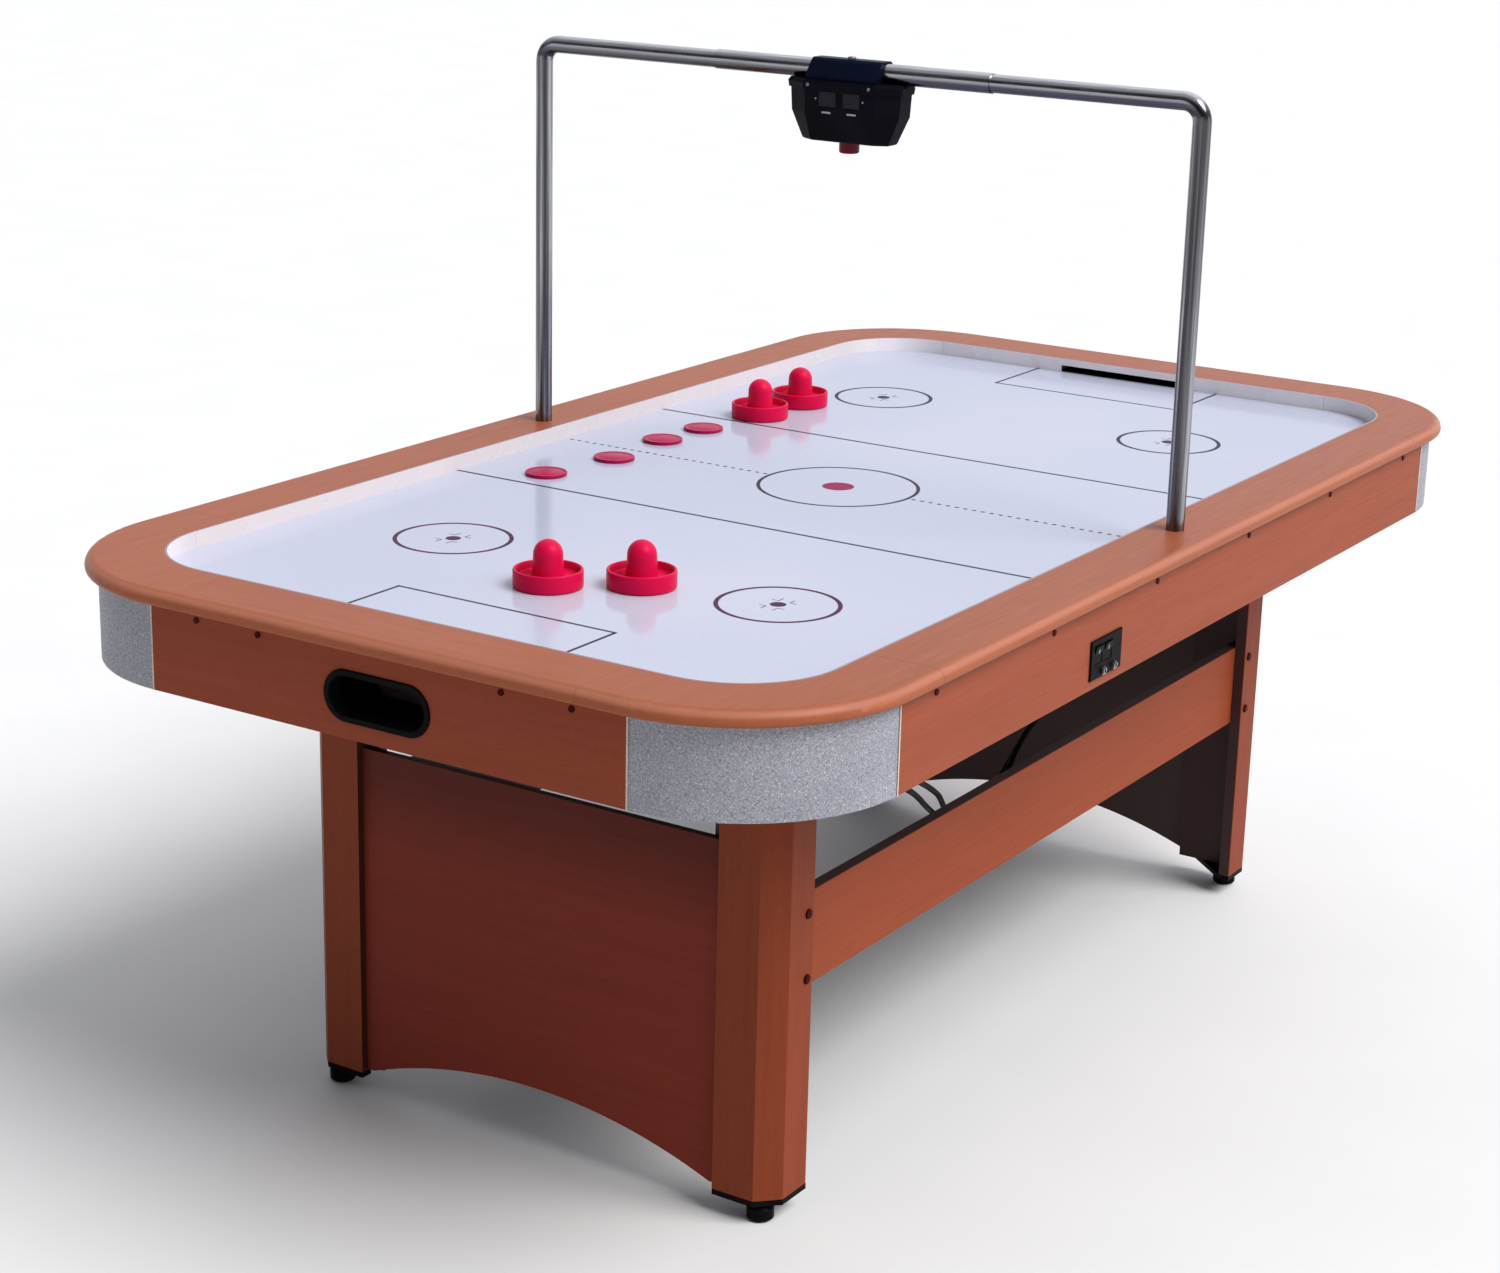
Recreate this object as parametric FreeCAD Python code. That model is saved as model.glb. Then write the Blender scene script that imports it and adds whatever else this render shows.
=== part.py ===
import FreeCAD, Part
import math
import os

# Air hockey table with a scoring gantry.  Millimetres, +Z up, origin on the floor at the table's centre,
# +X along the long side, -Y the side that carries the switch plate.

V = FreeCAD.Vector

# ---- overall sizes ----
TABLE_L = 2118.0            # outline of the rail
TABLE_W = 1196.0
RAIL_TOP = 790.0
RAIL_T = 20.5
RAIL_UPPER_ROUND = 13.0     # radii of the rail's outer edge
RAIL_LOWER_ROUND = 6.5
RAIL_R = 240.0              # outer corner radius of the rail
FIELD_HX = 952.0            # half size of the rink, between its walls
FIELD_HY = 495.0
FIELD_R = 133.0
FIELD_Z = 767.0             # playing surface
WALL_T = 3.0                # rink wall thickness
SEAM = 0.4                  # visible joint between two rail or wall pieces
FIT = 0.3                   # clearance round what is pushed into a hole

# ---- cabinet ----
APRON_HX = 1041.0
APRON_HY = 583.5
APRON_T = 18.0
APRON_Z0 = 654.0
APRON_Z1 = RAIL_TOP - RAIL_T
CORNER_R = 222.0
CORNER_X = APRON_HX - CORNER_R
CORNER_Y = APRON_HY - CORNER_R
COVER_T = 4.0
COVER_INSET = 1.0
RAIL_SEAM_X = 746.0
RAIL_SEAM_Y = 300.0
SIDE_SCREWS_X = (148.0, 443.0, 738.0)
END_SCREWS_Y = (185.0, 285.0)
SCREW_Z = 758.5

# ---- goals ----
SLOT_HALF = 125.0
SLOT_H = 11.5
POCKET_L = 162.0
POCKET_H = 66.0
POCKET_Z = 708.5
POCKET_LIP = 2.5
CHUTE_X0 = 955.6            # goal box, between the playfield's end and the apron
CHUTE_X1 = 1022.6
CHUTE_Z0 = 676.0

# ---- plenum: the air chamber under the playfield ----
FIELD_T = 12.0
PLENUM_Z1 = FIELD_Z - FIELD_T
FLOOR_T = 9.0
PLENUM_Z0 = 690.0
BATTEN_X = (905.0, 955.0)
BATTEN_Y = (446.0, 516.0)
RIBS_X = (-720.0, -480.0, -240.0, 240.0, 480.0, 720.0)
RIB_T = 12.0

# ---- legs ----
POST_X = 741.0              # outer faces of the posts
POST_Y = 380.0
POST_WX = 83.0
POST_WY = 90.0
POST_T = 18.0
POST_CHAMFER = 28.0
POST_Z0 = 34.0
POST_Z1 = 659.0
CAP_T = 8.0
FOOT_X = 715.0
FOOT_Y = 348.0
FOOT_R = 18.0
NECK_R = 9.0
STEM_R = 5.0
STEM_UP = 60.0              # how far a foot's stem reaches into its post
STRIP_X0 = 703.0            # strip in the angle of a post; the end panel is fixed to its outer face
STRIP_Y0 = 270.0
PANEL_X = (719.0, 730.0)
PANEL_Z = (36.0, 506.0)
ARCH_RISE = 52.0
ARCH_HALF = 278.0
STRETCHER_T = 18.0
STRETCHER_Z = (298.0, 426.0)
BOLT_X = 672.0
BOLTS_Z = (323.0, 411.0)

# ---- gantry and scorer ----
TUBE_R = 12.7
TUBE_WALL = 1.5
SLEEVE_R = 14.0
SLEEVE_HALF = 225.0
GANTRY_Y = 537.0
GANTRY_Z = 1366.6
BEND_R = 27.0
SOCKET_Z = 700.0
SCORER_TOP = 1354.0
SCORER_WALL = 3.0
SCORER_H = 86.0
BUTTON_R = 14.5

# ---- switch plate ----
PLATE_X = -295.0
PLATE_Z = 694.0
PLATE_W = 87.0
PLATE_H = 53.0
ROCKERS_X = (-318.0, -291.0)
ROCKER_Z = 700.0
ROCKER_TILT = 8.0
JACKS_X = (-304.6, -273.5)
JACK_Z = 675.5

# ---- blower ----
BLOWER_R = 95.0
BLOWER_Z = (604.0, 681.0)
SHAFT_R = 3.0

# ---- playing pieces: centres where they stand ----
PUSHERS = {"pusher_1": (-681.0, 18.0), "pusher_2": (-610.0, -78.0),
           "pusher_3": (315.0, 340.0), "pusher_4": (434.0, 339.0)}
PUCKS = {"puck_1": (-206.6, 377.0), "puck_2": (-66.0, 355.0),
         "puck_3": (77.6, 366.0), "puck_4": (182.0, 360.0)}
GLIDE = 0.3                 # air gap under a puck or pusher
PUCK_R = 31.0
PUCK_T = 5.0
PUSHER_R = 45.5
PUSHER_H = 62.0
RIM_H = 24.0
DISH_Z = 13.0
KNOB_R = 19.2

# ---- hanging leads, from the left goal's sensors to the foot of the front gantry tube ----
LEAD_R = 4.0
LEAD_A = [(-672, -452, 686), (-668, -451, 658), (-648, -448, 624), (-610, -441, 592), (-560, -431, 563),
          (-506, -418, 536), (-446, -397, 507), (-380, -369, 474), (-308, -336, 438), (-236, -311, 398),
          (-186, -304, 369), (-140, -303, 354), (-92, -304, 349), (-50, -307, 364), (-22, -312, 398),
          (-8, -320, 438), (-2, -344, 480), (0, -376, 524), (0, -412, 566), (-1, -450, 604),
          (-3, -490, 636), (-4, -524, 668), (-4, -537, 708)]
LEAD_B = [(-656, -470, 686), (-652, -469, 658), (-632, -464, 623), (-594, -455, 592), (-548, -444, 568),
          (-494, -429, 545), (-424, -405, 512), (-348, -374, 476), (-274, -341, 440), (-206, -311, 398),
          (-158, -294, 368), (-112, -286, 351), (-66, -284, 347), (-24, -288, 362), (2, -298, 396),
          (14, -312, 436), (18, -336, 478), (18, -368, 522), (15, -404, 566), (12, -444, 602),
          (8, -484, 634), (5, -520, 664), (5, -536, 706)]


def box(x0, x1, y0, y1, z0, z1):
    return Part.makeBox(x1 - x0, y1 - y0, z1 - z0, V(x0, y0, z0))


def cylinder(x, y, z, radius, height, axis=V(0, 0, 1)):
    return Part.makeCylinder(radius, height, V(x, y, z), axis)


def face_of(edges):
    return Part.Face(Part.Wire(Part.__sortEdges__(edges)))


def polygon(points):
    return Part.Face(Part.makePolygon(points + [points[0]]))


def rounded_plate(hx, hy, radius, z0, z1):
    """Plate with quarter-round corners, centred on the Z axis."""
    block = box(-hx, hx, -hy, hy, z0, z1)
    upright = [e for e in block.Edges if abs(e.Vertexes[0].X - e.Vertexes[-1].X) < 1e-6
               and abs(e.Vertexes[0].Y - e.Vertexes[-1].Y) < 1e-6]
    return block.makeFillet(radius, upright)


def rounded_ring(hx, hy, radius, width, z0, z1):
    """Ring that grows outwards by width from a rounded rectangle."""
    outer = rounded_plate(hx + width, hy + width, radius + width, z0, z1)
    return outer.cut(rounded_plate(hx, hy, radius, z0 - 1, z1 + 1))


def obround(length, height, x0, x1, z):
    """Prism along X with a slot-shaped section."""
    r = height / 2
    half = length / 2 - r
    middle = box(x0, x1, -half, half, z - r, z + r)
    ends = [cylinder(x0, side * half, z, r, x1 - x0, V(1, 0, 0)) for side in (-1, 1)]
    return middle.fuse(ends).removeSplitter()


def mirror_x(shape):
    return shape.mirror(V(0, 0, 0), V(1, 0, 0))


def mirror_y(shape):
    return shape.mirror(V(0, 0, 0), V(0, 1, 0))


def four_corners(shape):
    """The shape in the +X +Y quarter and its copies in the other three."""
    pair = [shape, mirror_x(shape)]
    return pair + [mirror_y(s) for s in pair]


def soften(shape, radius, choose):
    """Rounds the edges that choose() accepts."""
    edges = [e for e in shape.Edges if choose(e)]
    return shape.makeFillet(radius, edges)


def at_height(z):
    return lambda e: all(abs(v.Z - z) < 1e-6 for v in e.Vertexes) and abs(e.BoundBox.ZLength) < 1e-3


def group(shapes):
    return Part.makeCompound(list(shapes))


def save(name, shape):
    shape.exportStep("parts/%s.step" % name)
    solids = shape.Solids
    print("%-22s solids %2d  volume %10.1f  valid %s"
          % (name, len(solids), sum(s.Volume for s in solids), shape.isValid()))


# ------------------------------------------------------------------ rails, walls and playfield

def make_rails():
    """Bullnosed rail cut at its eight joints."""
    hx = FIELD_HX + WALL_T
    hy = FIELD_HY + WALL_T
    width = TABLE_L / 2 - hx
    outer = rounded_plate(TABLE_L / 2, TABLE_W / 2, RAIL_R, APRON_Z1, RAIL_TOP)
    outer = soften(outer, RAIL_UPPER_ROUND, at_height(RAIL_TOP))
    outer = soften(outer, RAIL_LOWER_ROUND, at_height(APRON_Z1))
    inner = rounded_plate(hx, hy, RAIL_R - width, APRON_Z1 - 1, RAIL_TOP + 1)
    ring = outer.cut(inner)
    seam = SEAM / 2
    side = box(-RAIL_SEAM_X + seam, RAIL_SEAM_X - seam, 0, TABLE_W, APRON_Z1, RAIL_TOP)
    end = box(0, TABLE_L, -RAIL_SEAM_Y + seam, RAIL_SEAM_Y - seam, APRON_Z1, RAIL_TOP)
    corner = box(RAIL_SEAM_X + seam, TABLE_L, RAIL_SEAM_Y + seam, TABLE_W, APRON_Z1, RAIL_TOP)
    hole = cylinder(0, GANTRY_Y, APRON_Z1 - 1, TUBE_R + FIT, RAIL_T + 2)
    side_rail = ring.common(side).cut(hole)
    notch = box(hx - 1, CHUTE_X1, -SLOT_HALF - 3, SLOT_HALF + 3, APRON_Z1 - 1, FIELD_Z + SLOT_H)
    end_rail = ring.common(end).cut(notch)
    save("rail_back", side_rail)
    save("rail_front", mirror_y(side_rail))
    save("rail_right", end_rail)
    save("rail_left", mirror_x(end_rail))
    save("rail_corners", group(four_corners(ring.common(corner))))


def make_rink_walls():
    """Thin white walls round the rink: two sides, two ends with their goal slots, four corners."""
    ring = rounded_ring(FIELD_HX, FIELD_HY, FIELD_R, WALL_T - 0.1, FIELD_Z, RAIL_TOP)
    seam = SEAM / 2
    tx = FIELD_HX - FIELD_R
    ty = FIELD_HY - FIELD_R
    side = ring.common(box(-tx + seam, tx - seam, 0, TABLE_W, FIELD_Z, RAIL_TOP))
    end = ring.common(box(0, TABLE_L, -ty + seam, ty - seam, FIELD_Z, RAIL_TOP))
    slot = box(FIELD_HX - 1, TABLE_L, -SLOT_HALF, SLOT_HALF, FIELD_Z - 1, FIELD_Z + SLOT_H)
    end = end.cut(slot)
    corner = ring.common(box(tx + seam, TABLE_L, ty + seam, TABLE_W, FIELD_Z, RAIL_TOP))
    save("rink_side_walls", group([side, mirror_y(side)]))
    save("rink_end_walls", group([end, mirror_x(end)]))
    save("rink_corner_walls", group(four_corners(corner)))


def make_playfield():
    edge = FIELD_HX + WALL_T
    save("playfield", rounded_plate(edge, FIELD_HY + WALL_T, FIELD_R + WALL_T, PLENUM_Z1, FIELD_Z))


def make_plenum():
    """Floor, edge battens and cross ribs of the air chamber."""
    floor = box(-BATTEN_X[1], BATTEN_X[1], -BATTEN_Y[1], BATTEN_Y[1], PLENUM_Z0 - FLOOR_T, PLENUM_Z0)
    floor = floor.cut(cylinder(0, 0, PLENUM_Z0 - FLOOR_T - 1, 55, FLOOR_T + 2))
    for start in (LEAD_A[0], LEAD_B[0]):
        floor = floor.cut(cylinder(start[0], start[1], PLENUM_Z0 - FLOOR_T - 1, LEAD_R + 1.2, FLOOR_T + 2))
    save("plenum_floor", floor)

    side = box(-BATTEN_X[1], BATTEN_X[1], BATTEN_Y[0], BATTEN_Y[1], PLENUM_Z0, APRON_Z1)
    side = side.cut(rounded_plate(FIELD_HX + WALL_T, FIELD_HY + WALL_T + FIT, 1, PLENUM_Z1, RAIL_TOP))
    end = box(BATTEN_X[0], BATTEN_X[1], -BATTEN_Y[0], BATTEN_Y[0], PLENUM_Z0, PLENUM_Z1)
    frame = [side, mirror_y(side), end, mirror_x(end)]

    for x in RIBS_X:
        rib = box(x - RIB_T / 2, x + RIB_T / 2, -BATTEN_Y[0], BATTEN_Y[0], PLENUM_Z0, PLENUM_Z1)
        for y in (-300, -100, 100, 300):
            rib = rib.cut(box(x - RIB_T, x + RIB_T, y - 60, y + 60, PLENUM_Z0 - 1, PLENUM_Z0 + 30))
        frame.append(rib)
    save("plenum_frame", group(frame))


# ------------------------------------------------------------------ aprons, corner covers and goals

def screw(x, y, z, direction):
    """Pan head with a shank that points along direction."""
    head = cylinder(x, y, z, 4.0, 1.6, direction * -1)
    shank = cylinder(x, y, z, 1.9, 15, direction)
    return head.fuse(shank)


def make_aprons():
    side = box(-CORNER_X, CORNER_X, APRON_HY - APRON_T, APRON_HY, APRON_Z0, APRON_Z1)
    side = soften(side, 1.0, lambda e: at_height(APRON_Z0)(e) and e.Length > 1000)
    end = box(APRON_HX - APRON_T, APRON_HX, -CORNER_Y, CORNER_Y, APRON_Z0, APRON_Z1)
    end = soften(end, 1.0, lambda e: at_height(APRON_Z0)(e) and e.Length > 500)
    screws = []
    for x in [s * x for x in SIDE_SCREWS_X for s in (-1, 1)]:
        side = side.cut(cylinder(x, APRON_HY + 1, SCREW_Z, 2.1, 20, V(0, -1, 0)))
        screws += [screw(x, APRON_HY, SCREW_Z, V(0, -1, 0)), screw(x, -APRON_HY, SCREW_Z, V(0, 1, 0))]
    for y in [s * y for y in END_SCREWS_Y for s in (-1, 1)]:
        end = end.cut(cylinder(APRON_HX + 1, y, SCREW_Z, 2.1, 20, V(-1, 0, 0)))
        screws += [screw(APRON_HX, y, SCREW_Z, V(-1, 0, 0)), screw(-APRON_HX, y, SCREW_Z, V(1, 0, 0))]
    end = end.cut(obround(POCKET_L - 9, POCKET_H - 9, APRON_HX - APRON_T - 1, APRON_HX + 1, POCKET_Z))
    window = box(PLATE_X - 38, PLATE_X + 38, -APRON_HY - 1, -APRON_HY + APRON_T + 1,
                 PLATE_Z - 25.5, PLATE_Z + 25.5)
    save("apron_back", side)
    save("apron_front", mirror_y(side).cut(window))
    save("apron_right", end)
    save("apron_left", mirror_x(end))
    save("apron_screws", group(screws))


def make_corner_covers():
    """Curved cover with a return at each end that is screwed behind the apron."""
    r = CORNER_R - COVER_INSET
    wall = cylinder(CORNER_X, CORNER_Y, APRON_Z0, r, APRON_Z1 - APRON_Z0)
    wall = wall.cut(cylinder(CORNER_X, CORNER_Y, APRON_Z0 - 1, r - COVER_T, APRON_Z1 - APRON_Z0 + 2))
    wall = wall.common(box(CORNER_X + SEAM, TABLE_L, CORNER_Y + SEAM, TABLE_W, APRON_Z0, APRON_Z1))
    behind_x = APRON_HX - APRON_T - 0.2
    behind_y = APRON_HY - APRON_T - 0.2
    height = (APRON_Z0, APRON_Z1)
    tab = 30.0
    web_y = box(CORNER_X + SEAM, CORNER_X + COVER_T, behind_y - COVER_T, CORNER_Y + r - 2, *height)
    tab_y = box(CORNER_X - tab, CORNER_X + COVER_T, behind_y - COVER_T, behind_y, *height)
    web_x = box(behind_x - COVER_T, CORNER_X + r - 2, CORNER_Y + SEAM, CORNER_Y + COVER_T, *height)
    tab_x = box(behind_x - COVER_T, behind_x, CORNER_Y - tab, CORNER_Y + COVER_T, *height)
    cover = wall.fuse([web_y, tab_y, web_x, tab_x]).removeSplitter()
    save("corner_covers", group(four_corners(cover)))


def make_goals():
    """Black pocket in each end apron, the box that catches the puck behind it, and the box's sensors."""
    flange = obround(POCKET_L, POCKET_H, APRON_HX + 0.05, APRON_HX + POCKET_LIP, POCKET_Z)
    flange = soften(flange, 1.5, lambda e: e.BoundBox.XMin > APRON_HX + POCKET_LIP - 0.01)
    tunnel = obround(POCKET_L - 10, POCKET_H - 10, CHUTE_X1 + 0.1, APRON_HX + 1, POCKET_Z)
    hole = obround(POCKET_L - 16, POCKET_H - 16, CHUTE_X0, APRON_HX + 10, POCKET_Z)
    pocket = flange.fuse(tunnel).cut(hole).removeSplitter()
    pocket = soften(pocket, 1.0, lambda e: e.BoundBox.XMin > APRON_HX + POCKET_LIP - 0.01
                    and e.BoundBox.ZLength < POCKET_H - 12)
    save("goal_pockets", group([pocket, mirror_x(pocket)]))

    t = 1.5
    half = SLOT_HALF + 2.5
    outer = box(CHUTE_X0, CHUTE_X1, -half - t, half + t, CHUTE_Z0, APRON_Z1 - 0.5)
    inner = box(CHUTE_X0 + t, CHUTE_X1 - t, -half, half, CHUTE_Z0 + 2, APRON_Z1)
    catch = outer.cut(inner).cut(hole)
    save("goal_boxes", group([catch, mirror_x(catch)]))

    middle = (CHUTE_X0 + CHUTE_X1) / 2
    eyes = []
    for side in (-1, 1):
        y = side * (half - 4.05)
        body = box(middle - 8, middle + 8, y - 4, y + 4, FIELD_Z - 37, FIELD_Z - 19)
        lens = cylinder(middle, y - side * 4, FIELD_Z - 28, 2.5, 1.5, V(0, -side, 0))
        eyes.append(body.fuse(lens))
    save("goal_sensors", group(eyes + [mirror_x(e) for e in eyes]))


# ------------------------------------------------------------------ legs

def post_outline():
    """Outer corners of a post's plan in the +X +Y quarter: a square corner with a flat across it."""
    return [(POST_X - POST_WX, POST_Y), (POST_X - POST_CHAMFER, POST_Y), (POST_X, POST_Y - POST_CHAMFER),
            (POST_X, POST_Y - POST_WY)]


def make_posts():
    """Post: two boards in an L and a rebated strip in the angle, bored for the foot's stem; a cap below."""
    inner_x = POST_X - POST_T
    inner_y = POST_Y - POST_T
    far_x = POST_X - POST_WX
    far_y = POST_Y - POST_WY
    outline = [V(x, y, POST_Z0) for x, y in post_outline()]
    back = [V(inner_x, far_y, POST_Z0), V(inner_x, inner_y, POST_Z0), V(far_x, inner_y, POST_Z0)]
    post = polygon(outline + back).extrude(V(0, 0, POST_Z1 - POST_Z0))
    flat_y = POST_Y - POST_CHAMFER
    post = soften(post, 1.2, lambda e: e.BoundBox.ZLength > 500 and e.Vertexes[0].Y > flat_y - 1
                  and (e.Vertexes[0].Y > inner_y + 1 or e.Vertexes[0].X > inner_x + 1))
    strip = box(STRIP_X0, PANEL_X[0] - 0.05, STRIP_Y0, inner_y, POST_Z0, POST_Z1)
    strip = strip.fuse(box(STRIP_X0, inner_x, far_y + FIT, inner_y, POST_Z0, POST_Z1))
    post = post.fuse(strip).removeSplitter()
    post = post.cut(cylinder(FOOT_X, FOOT_Y, POST_Z0 - 1, STEM_R + FIT, STEM_UP + 25))
    for z in BOLTS_Z:
        post = post.cut(cylinder(BOLT_X, POST_Y + 1, z, 4.3, 60, V(0, -1, 0)))
    save("leg_posts", group(four_corners(post)))

    base = POST_Z0 - CAP_T
    plan = post_outline() + [(inner_x, far_y), (far_x, inner_y)]
    cap = polygon([V(x, y, base) for x, y in plan]).extrude(V(0, 0, CAP_T - 0.05))
    cap = cap.cut(cylinder(FOOT_X, FOOT_Y, 0, STEM_R + 0.5, POST_Z0 + 1))
    save("leg_caps", group(four_corners(cap)))


def make_levellers():
    """Screw foot: a domed disc, a neck, and a stem that runs up into the post."""
    neck_top = POST_Z0 - CAP_T - 0.5
    profile = [(0, 0), (FOOT_R - 3, 0), (FOOT_R, 3), (FOOT_R, 17), (FOOT_R - 3, 21), (NECK_R, 22),
               (NECK_R, neck_top), (STEM_R, neck_top), (STEM_R, POST_Z0 + STEM_UP), (0, POST_Z0 + STEM_UP)]
    foot = polygon([V(r, 0, z) for r, z in profile]).revolve(V(0, 0, 0), V(0, 0, 1), 360)
    names = {"front": -1, "back": 1}
    for row, sy in names.items():
        for column, sx in (("left", -1), ("right", 1)):
            save("leveller_%s_%s" % (row, column), foot.translated(V(sx * FOOT_X, sy * FOOT_Y, 0)))


def make_panels():
    """End panel between two posts, with an arched foot."""
    x0, x1 = PANEL_X
    z0, z1 = PANEL_Z
    half = POST_Y - POST_WY - FIT
    a = V(x0, ARCH_HALF, z0)
    c = V(x0, -ARCH_HALF, z0)
    edges = [Part.Arc(a, V(x0, 0, z0 + ARCH_RISE), c).toShape()]
    loop = [c, V(x0, -half, z0), V(x0, -half, z1), V(x0, half, z1), V(x0, half, z0), a]
    edges += [Part.makeLine(p, q) for p, q in zip(loop, loop[1:])]
    panel = face_of(edges).extrude(V(x1 - x0, 0, 0))
    panel = soften(panel, 0.8, lambda e: at_height(z1)(e) and e.Length > 500)
    save("leg_panel_right", panel)
    save("leg_panel_left", mirror_x(panel))


def make_stretchers():
    y = POST_Y - POST_T - 0.05
    half = STRIP_X0 - 0.1
    bar = box(-half, half, y - STRETCHER_T, y, *STRETCHER_Z)
    bar = soften(bar, 1.2, lambda e: e.Length > 1000)
    bolts = []
    for sx in (-1, 1):
        for z in BOLTS_Z:
            bar = bar.cut(cylinder(sx * BOLT_X, POST_Y, z, 4.3, 80, V(0, -1, 0)))
            head = cylinder(sx * BOLT_X, POST_Y + 0.05, z, 6.5, 2.6, V(0, 1, 0))
            head = soften(head, 1.4, lambda e: e.BoundBox.YMin > POST_Y + 2.5)
            shank = cylinder(sx * BOLT_X, POST_Y + 1, z, 3.9, POST_T + STRETCHER_T + 10, V(0, -1, 0))
            nut_y = POST_Y - POST_T - STRETCHER_T - 0.2
            nut = cylinder(sx * BOLT_X, nut_y, z, 7.0, 6, V(0, -1, 0))
            bolts.append(head.fuse([shank, nut]))
    save("stretcher_back", bar)
    save("stretcher_front", mirror_y(bar))
    save("leg_bolts", group(bolts + [mirror_y(b) for b in bolts]))


def make_bearers():
    """Cross boards that join the tops of the posts to the underside of the plenum."""
    half = POST_WX / 2 + 4
    middle = POST_X - POST_WX / 2
    z1 = PLENUM_Z0 - FLOOR_T
    board = box(middle - half, middle + half, -POST_Y - 60, POST_Y + 60, POST_Z1, z1)
    save("leg_bearers", group([board, mirror_x(board)]))


# ------------------------------------------------------------------ gantry and scorer

def tube_along(points, bend, radius):
    """Round bar along straight runs joined by one tangent arc."""
    start, corner, end = points
    before = corner - (corner - start).normalize() * bend
    after = corner + (end - corner).normalize() * bend
    centre = before + (end - corner).normalize() * bend
    middle = centre + (corner - centre).normalize() * bend
    path = Part.Wire([Part.makeLine(start, before), Part.Arc(before, middle, after).toShape(),
                      Part.makeLine(after, end)])
    section = Part.Wire(Part.Circle(start, (corner - start).normalize(), radius).toShape())
    return path.makePipeShell([section], True, False)


def make_gantry():
    """Two bent uprights, the sleeve that joins them overhead, and a socket under each rail."""
    foot = V(0, GANTRY_Y, SOCKET_Z + 4)
    elbow = V(0, GANTRY_Y, GANTRY_Z)
    tip = V(0, 60, GANTRY_Z)
    tube = tube_along([foot, elbow, tip], BEND_R, TUBE_R)
    bore = tube_along([foot - V(0, 0, 1), elbow, tip - V(0, 1, 0)], BEND_R, TUBE_R - TUBE_WALL)
    tube = tube.cut(bore)
    sleeve = cylinder(0, -SLEEVE_HALF, GANTRY_Z, SLEEVE_R, 2 * SLEEVE_HALF, V(0, 1, 0))
    through = cylinder(0, -SLEEVE_HALF - 1, GANTRY_Z, TUBE_R + 0.15, 2 * SLEEVE_HALF + 2, V(0, 1, 0))
    sleeve = sleeve.cut(through)
    socket = cylinder(0, GANTRY_Y, SOCKET_Z, 18, APRON_Z1 - SOCKET_Z)
    flange = box(-32, 32, GANTRY_Y - 20, GANTRY_Y + 28, APRON_Z1 - 4, APRON_Z1)
    socket = socket.fuse(flange).cut(cylinder(0, GANTRY_Y, SOCKET_Z + 3.5, TUBE_R + 0.15, 100))
    socket = socket.cut(cylinder(0, GANTRY_Y, SOCKET_Z - 1, TUBE_R - TUBE_WALL, 10))
    save("gantry_tube_back", tube)
    save("gantry_tube_front", mirror_y(tube))
    save("gantry_sleeve", sleeve)
    save("gantry_sockets", group([socket, mirror_y(socket)]))


def tub_outline(z, half_y, flat, half_x, tip):
    """Eight-sided plan of the scorer: flat front and back faces with slanted ends."""
    quarter = [(half_x, flat), (tip, half_y), (-tip, half_y), (-half_x, flat)]
    points = [V(x, y, z) for x, y in quarter]
    points += [V(-x, -y, z) for x, y in quarter]
    return Part.makePolygon(points + [points[0]])


def tub(inset):
    """Faceted tub, or the hollow inside it."""
    waist = SCORER_TOP - 46
    base = SCORER_TOP - SCORER_H
    levels = [(SCORER_TOP - inset, 91, 58, 32, 15), (waist, 88, 56, 32, 15), (base + inset, 70, 50, 24, 12)]
    wires = [tub_outline(z, hy - inset, flat - inset / 2, hx - inset, tip - inset / 2)
             for z, hy, flat, hx, tip in levels]
    return Part.makeLoft(wires, True, True)


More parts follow.
